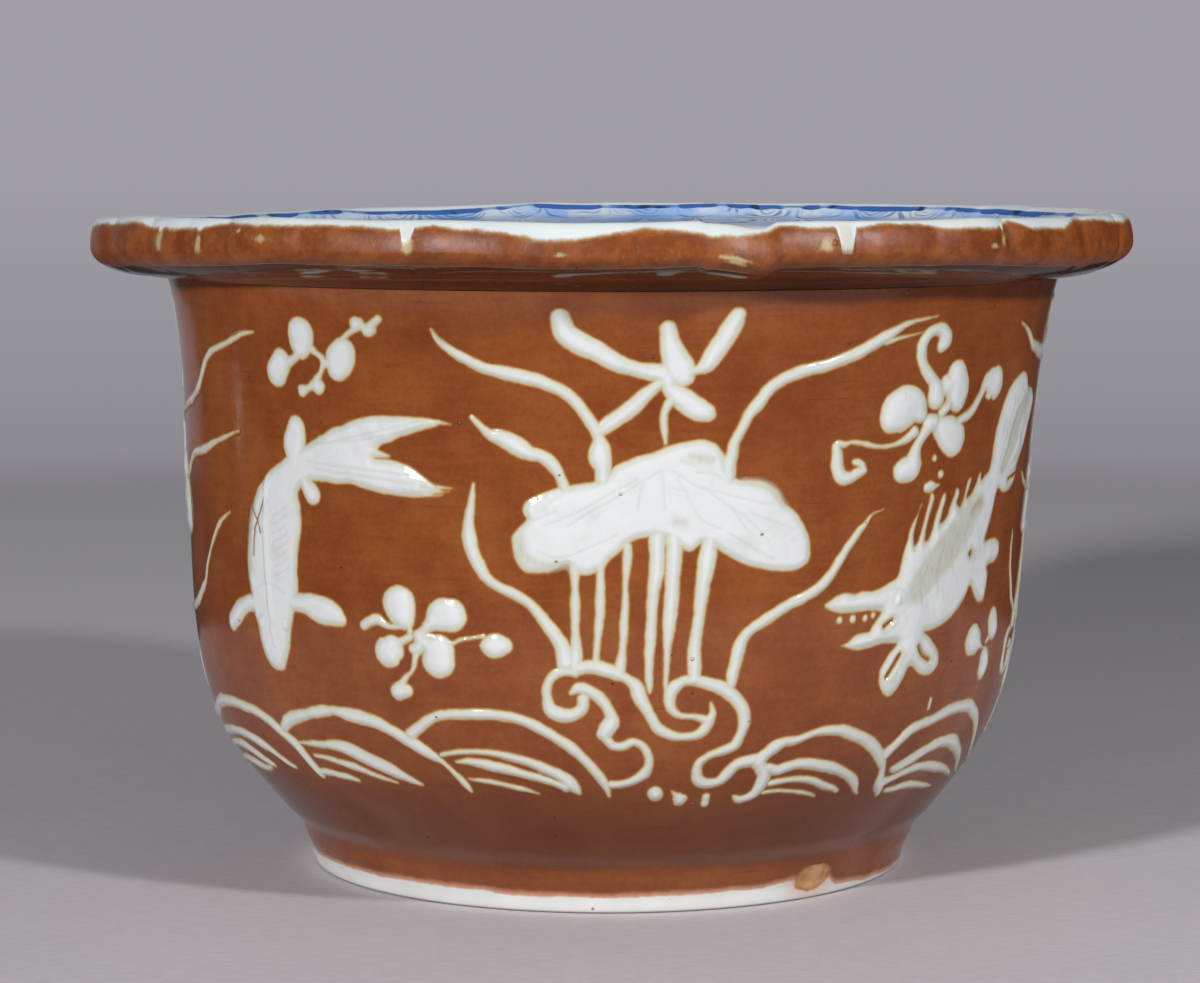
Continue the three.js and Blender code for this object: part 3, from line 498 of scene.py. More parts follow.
inside_line = inner_line(60)
wall_line = outline[arc >= np.hypot(FOOT_TOP[0] - FOOT[0], FOOT_TOP[1]) - 1e-6]
wall_arc = along(wall_line)
share = np.linspace(0, 1, 150)
outer = np.stack([np.interp(share, wall_arc / wall_arc[-1], line) for line in wall_line.T], -1)
wall_section = np.concatenate([outer, [CREASE], inside_line[::-1]])


def wall_values(a, r, z):
    """'inside' is 1 on the section's inner points."""
    return {"inside": (np.arange(len(wall_section)) > len(outer))[:, None] + 0 * r}


finished(turned("wall", wall_section, SEGMENTS, fired("brown_iron_glaze", brown_glaze), wall_values),
         "bowl_wall")

# The foot ring: flat below, its outer edge rounded by the thumb, its inner edge cut back
foot_section = np.array([
    (FOOT[0] - 9.5, 0), (FOOT[0] - 0.9, 0), (FOOT[0] - 0.45, 0.12), (FOOT[0] - 0.12, 0.45),
    (FOOT[0] + 0.05, 0.9),
    *[(FOOT[0] + (FOOT_TOP[0] - FOOT[0]) * t, FOOT_TOP[1] * t) for t in np.linspace(0.15, 1, 14)],
    (FOOT_TOP[0] - WALL - GAP - 3, FOOT_TOP[1]), (FOOT[0] - 10.4, 0.9), (FOOT[0] - 10.1, 0.3),
])

# How high the brown was wiped away, in mm, at azimuths from behind round by the left
WIPED = [(-180, 4.2), (-150, 3.2), (-120, 4.6), (-90, 4.2), (-60, 4.9), (-40, 5.2), (-22, 5.3), (-19, 4.6),
         (0, 4.7), (17, 4.8), (29, 4.8), (34, 6.2), (44, 6.0), (47, 3.0), (56, 1.9), (70, 1.0), (90, 1.6),
         (120, 3.8), (150, 4.8), (180, 4.2)]


def half_turns(a):
    """Azimuths as -180 to 180 degrees."""
    return (a + 180) % 360 - 180


def foot_values(a, r, z):
    """'wiped' is the height in mm up to which the brown was wiped away."""
    return {"wiped": np.interp(half_turns(a), *zip(*WIPED)) + 0 * r}


finished(turned("foot", foot_section, SEGMENTS, fired("wiped_foot_glaze", foot_glaze), foot_values),
         "foot_ring")

FLOOR_DISH = 0.6
FLOOR_RADIUS = 80
edge_line = inside_line[inside_line[:, 1] < FLOOR_TOP]
floor_section = np.concatenate([
    edge_line - (GAP, 0),
    [(np.interp(FLOOR_TOP, inside_line[:, 1], inside_line[:, 0]) - GAP, FLOOR_TOP)],
    [(r, FLOOR_TOP - FLOOR_DISH * math.sin(math.pi * r / FLOOR_RADIUS)) for r in (76, 70, 60, 45, 30, 15)],
])
finished(turned("floor_of_the_pot", floor_section, 192, fired("clear_glaze_on_white", white_glaze),
                poles=(FOOT_TOP[1], FLOOR_TOP)), "floor_disc")


# The rim

under = bend(CREASE, WIDEST, (0.42, 0.06), (1, 0.3), 40)
lip = bend(WIDEST, LIP_TOP, (0, 0.43), (0.4, 1), 24)
behind = bend(LIP_TOP, BEHIND_LIP, (0.31, 0), (0.62, 0.76), 16)
dish = np.linspace(BEHIND_LIP, MOUTH, 16)
mouth = bend(MOUTH, THROAT, (0.64, 0.09), (1, 0.4), 16)
rim_section = np.concatenate([under, lip[1:], behind[1:], dish[1:], mouth[1:], [(NECK[0] - WALL, CREASE[1])]])
rim_way = along(rim_section)

# Places on the way over the rim, in mm: the lip's widest line, where the brown ends, and the cobalt border
LIP_START = along(under)[-1]
LIP_END = LIP_START + along(lip)[-1]
LIP_EDGE = LIP_END - 3.6
BORDER_START = LIP_END + 1.6
BORDER_END = BORDER_START + along(behind)[-1] + along(dish)[-1] - 3.5
CRESTS = 44
CREST_WIDTH = 2 * math.pi * 129 / CRESTS

# The pinches seen in front: azimuth, and how deep each is. Those behind go on at about the same step.
SEEN = [(-68.9, 1), (-56.6, 0.5), (-49.1, 0.25), (-42.8, 0.6), (-32.3, 0.3), (-20.2, 0.3), (-9, 0.2),
        (2.1, 0.3), (13, 0.2), (24.6, 0.6), (34, 0.2), (44.1, 0.8), (59.4, 0.6), (71.2, 0.9), (84, 0.7)]
UNSEEN, UNSEEN_STEP = 18, 10.9
rng = np.random.default_rng(7)
unseen = [(SEEN[-1][0] + UNSEEN_STEP * (i + 1) + rng.uniform(-0.9, 0.9), rng.uniform(0.25, 0.9))
          for i in range(UNSEEN)]
PINCHES = np.array(SEEN + unseen)

# How the thrown rim lies off level, in mm at azimuths from behind round by the left: it sags at the back left
SAG = [(-180, 0), (-167, -0.4), (-146, -1.6), (-130, -2.5), (-118, -3.0), (-107, -2.4), (-92, -1.8),
       (-75, -1.0), (-55, 0.2), (-30, 0.5), (0, 0), (60, 0.2), (90, 0.4), (120, 0.2), (150, 0.1), (180, 0)]

# Where the lip was knocked down while soft, right of the middle: azimuth and how deep in mm
DIP = [(8.6, 0), (9.1, 0.8), (11.9, 1.5), (14, 2.7), (15.2, 2.7), (16.4, 0.3), (18, 0)]

# How much thinner the lip is underneath in front, in mm, and how far round that reaches on either side. The
# sag is in the part of the rim from that many mm below its widest line upwards.
THINNER, THINNER_REACH = 2.0, 50
SAGGING_HEIGHT = 8


def pinches(a):
    """Distance in mm along the rim from the nearest pinch, and that pinch's depth."""
    away = np.abs(half_turns(a.reshape(-1, 1) - PINCHES[:, 0]))
    nearest = np.argmin(away, 1)
    mm = away[np.arange(len(away)), nearest] * math.radians(1) * WIDEST[0]
    return mm, PINCHES[nearest, 1]


def lobed(a, r, z):
    """The rim pressed in at each pinch: sharp in the pinch and soft between, fading towards the neck.

    At mm from a pinch it goes in by 0.8 e^(-mm/0.9) + 1.3 e^(-(mm/4.5)^2), and down by about a quarter of
    that. It also sags and rises a little as it goes round, and its lip is thinner underneath at the front.
    """
    mm, strength = pinches(a)
    angle = half_turns(a[0])
    outward = np.clip((r - NECK[0]) / (WIDEST[0] - NECK[0]), 0, 1)
    pressed = strength * (0.8 * np.exp(-mm / 0.9) + 1.3 * np.exp(-(mm / 4.5) ** 2))
    sunk = strength * (0.2 * np.exp(-mm / 1.2) + 0.3 * np.exp(-(mm / 6) ** 2))
    x, y = WIDEST[0] * np.cos(np.radians(a[0])), WIDEST[0] * np.sin(np.radians(a[0]))
    uneven = 0.3 * waves(x, y, 34, 3)
    dip = np.interp(angle, *zip(*DIP))
    sag = np.interp(angle, *zip(*SAG)) * outward * (z > WIDEST[1] - SAGGING_HEIGHT)
    thin = THINNER * np.exp(-(angle / THINNER_REACH) ** 4) * np.clip((WIDEST[1] - z) / 5, 0, 1) ** 0.7
    outer_part = outward ** 2.4
    return (r - (pressed - uneven) * outer_part,
            z - (sunk + dip - uneven) * outer_part + sag + thin * np.minimum(1, outward * 3))


# How far the white comes down the lip's face beyond its usual edge, in mm, along the front
WHITE_DOWN = [
    (-80, 0), (-66, -0.4), (-60, -0.4), (-55.5, 0.8), (-47, 0.6), (-43.7, -1), (-38, 0.4), (-33, -0.3),
    (-27, -0.7), (-22, 0.3), (-17.7, -0.7), (-13.8, 0.4), (-10.9, 0.9), (-7.3, 2.0), (-4, 2.0), (-1.1, 0.9),
    (0.9, 0.5), (3.2, -0.5), (5.1, 0.2), (9.1, 1.3), (11, 0.8), (12.5, 0), (14, -0.9), (15.3, -1.3),
    (16.5, -1.2), (18.7, -0.9), (21, -0.4), (25.4, -0.7), (29.4, -1.3), (32, -1.2), (35, 0.2), (38.2, 0.5),
    (42.5, 0.6), (44.8, -1.4),
    (48, 0.4), (54, 0.6), (57, -1.3), (63, -0.8), (68, 0.3), (80, 0),
]

# Where white ran down in a pinch: azimuth, how far, and half its width in mm
RUNS = [(-68.6, 9, 0.35), (-53.8, 1.0, 1.0), (-46.6, 0.8, 0.8), (-20.4, 3.4, 1.4), (23.5, 5.2, 2.5),
        (43.2, 1.8, 0.8), (70.8, 9, 0.4), (86, 4, 1.4), (109, 8, 0.5), (131, 3, 1.2), (154, 5, 1.6),
        (-167, 4, 1.2), (-144, 8, 0.5), (-121, 5, 1.5), (-98, 3, 1.0)]

# Where the glaze is thin on the face: azimuth, the way above the widest line, and half the width and height
CREAM = [(11.7, 0.3, 4.8, 0.8), (11.9, -1.1, 2.6, 1.5), (-20.2, 2.0, 1.6, 3.0), (-53.8, 2.5, 1.5, 3.0),
         (-46.6, 1.5, 1.3, 3.0), (-40.5, 5, 1, 0.8), (-37.1, 2.5, 1.7, 1.1), (41.5, 1.0, 1.2, 0.8),
         (21.2, 2.0, 2.0, 1.6), (43.2, 3.0, 1.0, 2.5), (-5, 0.5, 1.5, 0.8), (95, 2, 3, 1.5), (140, 1, 3, 2),
         (-110, 2, 3, 1.5), (-155, 1, 2, 2)]

# How much further in than usual the painter began the border, in mm, at azimuths from the front by the right
INSET = [(0, 0.4), (40, 1.2), (75, 0), (100, 1.4), (113, 1.2), (126, 1.1), (131, 0.3), (148, 0.3), (160, 0.2),
         (166, -0.3), (172, 0.4), (180, 0.4), (186, 0.2), (191, -0.4), (197, 0.8), (203, 1.6), (213, 1.3),
         (216, 0.2), (226, 0.1), (231, 0.4), (250, 1), (280, 0), (320, 1.2), (360, 0.4)]


def rim_values(a, r, z):
    """The rim's five values, which the glaze and the border read.

    A run is a bell e^(-x^8) and a thin place e^(-x^2 - y^2), with x or y at 1 at its half width or height.
    """
    mm, strength = pinches(a)
    angle = half_turns(a[0])
    down = np.interp(angle, *zip(*WHITE_DOWN))
    per_degree = math.radians(1) * WIDEST[0]
    for azimuth, far, half in RUNS:
        down = down + far * np.exp(-(half_turns(angle - azimuth) * per_degree / half) ** 8)
    way = rim_way[:, None] + 0 * r
    cream = 0 * r
    for azimuth, over, half, tall in CREAM:
        aside = half_turns(angle - azimuth) * per_degree / half
        cream = np.maximum(cream, np.exp(-aside ** 2 - ((way - LIP_START - over) / tall) ** 2))
    sharp = strength * np.exp(-mm / 0.7)
    inset = np.interp(angle % 360, *zip(*INSET))
    return {"across": way, "down": down + 0 * r, "pinch": sharp + 0 * r, "cream": cream,
            "inset": inset + 0 * r}


rim_material = fired("lip_and_cobalt_border_glaze", rim_glaze)
finished(turned("rim", rim_section, RIM_SEGMENTS, rim_material, rim_values, lobed), "rim_flange")




# The slip drawing

# A line is points of azimuth, percent up the outline, and half-width in mm. A body is a closed outline of
# azimuth and percent. A cut is an incised line, a scratch goes through to the brown, a pit is a pinhole,
# a scrape is thin, a hole is a line that slip leaves bare, and a bump is a raised dab.

LEAF = [
    (.1, 74.9), (2.4, 76.2), (4.9, 77.1), (7.1, 78.1), (9.4, 78.75), (11.4, 78.75), (12.7, 78.1),
    (13.6, 76.9), (14.2, 74.6), (15.4, 73.05), (17.1, 73), (19.4, 72.4), (20.85, 71.2), (21.7, 69.5),
    (23.7, 67.3), (24.85, 65.1), (25.4, 62.4), (25.3, 60.7), (24.3, 59.7), (21.7, 59.2), (18.85, 59.7),
    (16.3, 60.7), (14.6, 61.7), (13.3, 62.6), (11.4, 63.9), (9.7, 62.6), (7.3, 64.2), (4.85, 64.9),
    (2.4, 64.1), (.85, 62.5), (-.3, 61.4), (-1, 60.3), (-2, 59.6), (-4, 59.3), (-5.4, 60.5), (-7.3, 59.7),
    (-8.9, 59.5), (-10.9, 59.8), (-11.9, 61.2), (-12.3, 63.2), (-12.1, 65.1), (-11.1, 66.4), (-10.4, 67.3),
    (-10.9, 68.5), (-10.6, 69.7), (-9.3, 70.8), (-7.1, 71.7), (-4.6, 72.4), (-2, 72.9), (-.6, 73.6),
]
LEAF_VEINS = [
    [(7.4, 74.4), (10.6, 72), (13.4, 71.1), (17.4, 69.8), (20.3, 69)],
    [(6, 74.4), (4.3, 73.4), (1.4, 71.2), (-2.6, 68.5), (-5.4, 66.4)],
    [(3.1, 73.2), (-.6, 70.9), (-4.6, 68.2), (-8.3, 66.4)], [(-4.6, 71.9), (-7.4, 70)],
    [(-6.9, 68.5), (-9.7, 67.1)],
    [(.6, 65.1), (-2.6, 63.4), (-5.4, 62), (-7.7, 61.9), (-9.1, 62.7)], [(4, 73.2), (3.4, 71.2), (3.1, 68.8)],
    [(6.1, 73.9), (6.3, 71.2), (6.4, 68.8)], [(7.9, 73.4), (9.4, 70.2), (11.1, 67.1), (13.4, 65.8)],
    [(11.1, 71.9), (14.6, 68.8), (16.9, 65.4)], [(10.3, 74.2), (12.9, 73.6), (14.6, 72.2)],
    [(13.4, 69.8), (16.9, 67.1), (19.7, 63.7)], [(14.6, 65.1), (17.4, 63), (20.3, 61)],
    [(17.1, 68.1), (20.3, 66.6), (23.1, 65.4)], [(7.3, 71.9), (9.1, 71.4)], [(8.3, 75.8), (10, 75.1)],
]
LEAF_PITS = [[(18.6, 64.8), (18.8, 64.8)], [(-6.9, 61.2), (-6.8, 61.2)], [(-9, 70.5), (-8.9, 70.5)],
             [(-6.4, 73.8), (-6.3, 73.8)]]
LEAF_SCRAPES = [
    [(-11.2, 64.5, .9), (-11, 62.2, 1.2), (-9, 60.8, .9), (-5.5, 60.6, .7)],
    [(7.9, 66.9, .7), (8.8, 66.7, .8)],
    [(9.5, 76.4, .7), (11.8, 76, 1)], [(16.5, 72.6, .7), (19.8, 71.4, 1), (21.5, 69, .7)],
]
LOTUS_LINES = [
    # Flower: left wing, middle petal, right wing, lower petal, tendril and arm
    [(-6.05, 96.7, 2.45), (-5.45, 94.4, 2.8), (-3.8, 93, 2.8), (-1.75, 91.8, 2.6), (.5, 90.2, 2.3),
     (2.8, 89.3, 1.9), (4.6, 88.8, 2.2), (6.1, 88.6, 2.3)],
    [(6.55, 95.2, 1.95), (6.75, 93.4, 2.5), (7.4, 91.1, 3.2), (8.1, 89, 3.7), (8.4, 88.2, 2.9)],
    [(14.8, 97.1, 2), (13.85, 94.75, 2.6), (12.95, 92.9, 2.6), (11.9, 91.1, 2.4), (11.2, 89.75, 2),
     (10.3, 89.1, 1.1), (9.6, 88.8, 1)],
    [(6.7, 86.6, 1.8), (7.55, 85.7, 2.5), (9, 84.45, 3), (10.4, 83.35, 2.9), (11.5, 82.8, 2.2)],
    [(7.3, 84.8, 1.2), (6.75, 84.1, 1.1), (6.35, 83.2, .95), (6.2, 81.4, .9), (6.35, 79.6, .75),
     (6.45, 78.5, .4)],
    [(5.9, 87.4, 1.2), (4.4, 85.9, 1.7), (2.7, 84, 2), (.9, 82.3, 2), (-.9, 80.8, 1.8), (-1.8, 79.9, 1.4)],
    [(6.5, 88, 2.2), (6.7, 87.4, 2.2)],
    # Stems
    [(-4.8, 61.5, 1.6), (-4.6, 59.5, 1.2), (-4.55, 57.45, 1.1), (-4.5, 54.4, 1.1), (-4.55, 51.4, 1.1),
     (-4.5, 49, 1.4), (-4.6, 46.8, 1.8), (-4.7, 45.8, 1.8)],
    [(-1.35, 61.5, 1.3), (-1.4, 60.2, 1), (-1.4, 57.45, 1.15), (-1.5, 54.4, 1.2), (-1.6, 52, 1.15),
     (-1.8, 49.3, 1), (-2, 46.8, .8), (-2, 45.6, 1.2)],
    [(1.85, 63.4, 1.2), (1.9, 62, 1.2), (1.8, 60.2, .95), (1.65, 57.45, .8), (1.65, 54.4, .9),
     (1.5, 52, 1.05), (1.35, 49.3, .95), (1.25, 47.4, 1.1), (1.1, 45.6, 1.4), (.9, 44.7, 1.5)],
    [(5.6, 64.5, 2.2), (5.5, 60.2, 2), (5.2, 57.45, 1.65), (4.95, 54.4, 1.4), (4.85, 51.4, 1.4),
     (4.8, 49, 1.35), (4.65, 46.8, 1.2), (4.65, 44.4, 1), (4.75, 42.6, .75), (4.8, 41.8, .4)],
    [(7.6, 64.5, 2.3), (7.6, 61, 2.1), (7.5, 59, 1.9), (7.4, 55.9, 1.9), (7.2, 52.9, 1.8), (7.05, 50.5, 1.35),
     (6.9, 48.4, 1), (6.85, 45.3, .7), (6.8, 42.6, .5), (7, 41.3, .6)],
    [(12.2, 64.8, 1.8), (11.95, 62.6, 2.3), (11.6, 60.2, 2.25), (11.3, 57.45, 1.9), (11, 54.4, 1.55),
     (10.7, 51.4, 1.5), (10.4, 48.4, 1.7), (10.4, 45.3, 1.75), (10.4, 43.7, 1.8)],
    # Left scroll: the band under the stems, the curl at its left end, and the S with its tail
    [(-4.65, 45.2, 1.7), (-3.4, 45.6, 1.75), (-2.1, 45.6, 1.9), (-.6, 45.15, 1.75), (.7, 44.55, 1.6),
     (2, 43.8, 1.3), (3.1, 42.6, 1.8), (3.5, 41.1, 1.8), (4.4, 39.4, 1.5), (5.1, 37.9, 1.3),
     (5.85, 36.35, 1.5), (7.15, 35.3, 1.3), (8.85, 34.8, 1.15), (10.3, 34.85, 1.1), (11.7, 35.5, 1.3),
     (12.5, 36.9, 1.5), (13, 38.4, 1), (12.7, 39.9, .35)],
    [(-4.65, 44.7, 1.2), (-6.2, 44.9, 1.2), (-7.5, 44.1, 1.3), (-8.2, 42.6, 1.3), (-8.2, 40.8, 1.3),
     (-7.85, 39.1, 1.8), (-6.3, 38.3, 1.9), (-4.9, 38.4, 1.7), (-3.8, 39.4, 1.6), (-3.65, 40.8, 1.5)],
    [(-5.1, 41.8, .7), (-4.15, 42.5, 1.5), (-3, 42.15, 1.5), (-1.7, 41.1, 1.5), (-.7, 39.7, 1.35),
     (-.05, 38.05, 1.6), (0, 37.4, 2), (-.65, 36.2, 2.2), (-1, 35.4, 2)],
    [(-.85, 34.8, 1.3), (.15, 33.5, 1.2), (1.4, 33.4, 1.1), (2.85, 34.15, 1.1), (4.15, 33.3, 1),
     (4.85, 31.8, 1.2), (4.95, 30.4, 1.2), (4.4, 28.9, 1.35), (3.15, 27.7, 1.3), (1.4, 27, 1.1),
     (-.15, 26.85, 1.2)],
    # Right scroll
    [(12.3, 37.3, 1.2), (10.55, 37.95, .8), (8.7, 38.2, .85), (7.5, 39.4, 1.4), (7.3, 40.95, 1.6),
     (7.85, 42.45, 1.6), (9, 43.4, 1.45), (10.3, 43.5, 1.4), (12, 43.05, 1.6), (14, 42.2, 1.7),
     (15.7, 40.75, 1.8), (16.85, 39.05, 1.75), (17.35, 37, 1.7), (17, 34.8, 1.45), (16.3, 33.15, 1.5),
     (14.7, 32.3, 1.25), (12.85, 31.5, 1.2), (11.7, 30.4, 1.35), (11.5, 28.7, 1.45), (12, 27.2, 1.65),
     (13.4, 26.7, 1.6), (14.85, 27.1, 1.6), (15.85, 28.4, 1.7), (16.85, 29.75, 1.6), (18.4, 30.25, 1.8),
     (20, 30.4, 2)],
]
FRONT_REEDS = [
    [(-21.8, 94.8, .3), (-21, 93.2, .8), (-19.8, 92, 1), (-17.9, 90.7, 1.2), (-15.6, 89.4, 1.4),
     (-13, 88.6, 1.6), (-10.5, 88.05, 1.8), (-8.2, 87.3, 1.7), (-6.1, 86.1, 1.5), (-4.45, 84.6, 1.5),
     (-3.2, 82.6, 1.5), (-2.15, 80.8, 1.5), (-1.6, 79.1, 1.6), (-1.45, 76.6, 2.9), (-1.1, 75, 2.2),
     (-1.1, 73, 1.9)],
    [(-17.1, 82, .6), (-16.1, 80.8, .8), (-14.9, 79.6, 1.2), (-13.5, 79.1, 2), (-12.4, 78.5, 2.4),
     (-11.1, 77.6, 2.4), (-10.05, 76.9, 1.9), (-8.7, 76.6, 1.5), (-7.25, 75.4, 1.6), (-6.1, 73.2, 1.3),
     (-5.8, 72, 1.3)],
    [(-17.1, 72.3, .3), (-17.35, 70.3, .8), (-17.7, 68, 1.2), (-17.9, 66, 1.6), (-17.8, 64.3, 2),
     (-17.5, 62.5, 1.9), (-16.75, 60.6, 1.7), (-15.8, 58.7, 1.5), (-14.1, 57.3, 1.25), (-12.2, 56.3, 1.35),
     (-10.5, 55.2, 1.3), (-9.1, 53.5, 1.45), (-8, 51.8, 1.7), (-6.8, 50, 1.85), (-6.1, 48.4, 2),
     (-5.7, 46.3, 2.4)],
    [(14.4, 72.9, 1.6), (14.2, 74.7, 2), (14.65, 76.6, 1.5), (14.95, 78.4, 1.35), (15.8, 80.2, 1.4),
     (16.8, 82.5, 1.45), (18.1, 84.4, 1.6), (19.2, 86.1, 1.6), (20.8, 87.4, 1.5), (22.3, 88.1, 1.65),
     (24.4, 88.85, 1.5), (26.4, 89.3, 1.5), (28.4, 90, 1.5), (30.2, 90.7, 1.55), (32, 91.6, 1.7),
     (33.6, 92.6, 1.7), (35.3, 93.5, 1.5), (37.1, 94.6, 1.05), (38.9, 95.35, .6), (41, 95.75, .35),
     (43.1, 96.1, .15)],
    [(35.1, 92.4, .6), (36.9, 92.95, .5), (39.2, 93.4, .25), (41.2, 93.8, .1)],
    [(15.35, 42.8, 1.2), (15.4, 44.1, 1.6), (15.7, 45.9, 1.6), (16.1, 48.05, 1.7), (16.9, 50, 1.5),
     (17.85, 50.9, 1.35), (19.2, 51.9, 1.5), (21, 53.1, 1.5), (23.1, 54.4, 1.35), (25.1, 55.3, 1.3),
     (26.9, 56.5, 1.4), (28.45, 58.2, 1.3), (29.7, 60.2, 1.2), (30.7, 61.9, 1.15), (31.8, 63.4, 1.05),
     (32.7, 64.7, .9), (33.5, 65.5, .6), (34.4, 66.7, .25), (36.4, 67.5, .1)],
    # Pebbles under the roots
    [(6, 25.1, 2.3), (6.05, 25, 2.3)], [(9.55, 23.9, 2.2), (9.3, 24.2, 1.6), (8.3, 25.5, .3)],
    [(13.3, 24.3, 1), (13.3, 22.8, 1.1)],
]
SIDE_REEDS = [
    [(63.7, 94.1, .2), (66.2, 93, .6), (68.2, 91.8, 1), (70.2, 90.3, 1.5), (72.2, 89.8, 1.6), (74.7, 89.2, 2),
     (77.9, 88.6, 2.2), (84, 87.8, 2), (89, 88, 2)],
    [(72.2, 69.9, .4), (73.85, 68.5, .8), (76.3, 67.5, 1), (81, 66, 1.4)],
    [(69.2, 61, .3), (68.8, 58.15, .6), (69, 55.3, .7), (70, 52.9, .8), (71.4, 50, .8), (73.85, 48.1, .8),
     (75.5, 46.2, 1.2)],
    [(130, 93.3, .2), (128, 93.05, .5), (125.1, 92, .7), (122.3, 91, .7), (119.9, 90.3, .8),
     (117.9, 89.6, .9), (115.8, 88.15, .9), (113.8, 86, .95), (112.2, 84.3, 1.1), (109.8, 82.6, .9),
     (107.3, 81.4, 1), (104.1, 80.5, .9), (100, 79.3, .9), (96, 78.4, 1), (92.5, 75.5, 1.2)],
    [(124.5, 77.9, .2), (122.3, 77.3, .4), (119.5, 76.4, .6), (116.2, 75.4, .8), (113, 74.2, 1.1),
     (109.8, 73.5, 1), (107.3, 73, 1), (104.9, 71.8, 1), (102.5, 69.9, 1.1), (98.5, 68, 1.3),
     (94.5, 66.5, 1.3)],
    [(120.5, 65.1, .2), (118.7, 64.2, .4), (116.6, 62.7, .7), (115, 61, .6), (113, 58.6, .6),
     (111, 55.75, .6), (109.8, 53.35, .8), (107.7, 51.7, 1.2), (105.3, 50.2, 1.4), (102.5, 48.9, 1.4),
     (99.2, 48, 1.3), (95, 46.8, 1.3), (91, 42.8, 1.3)],
]


def leaning(point):
    """Where a point of the front clump lies in a side clump, which is narrower above and leans."""
    x, y = point[:2]
    share = min(max((y - 44) / (65 - 44), 0), 1)
    moved = (78 + 0.93 * x) * (1 - share) + (85.8 + 0.65 * x) * share
    return (moved, y, *(half * 0.85 for half in point[2:]))


def leaned(lines):
    return [[leaning(point) for point in line] for line in lines]


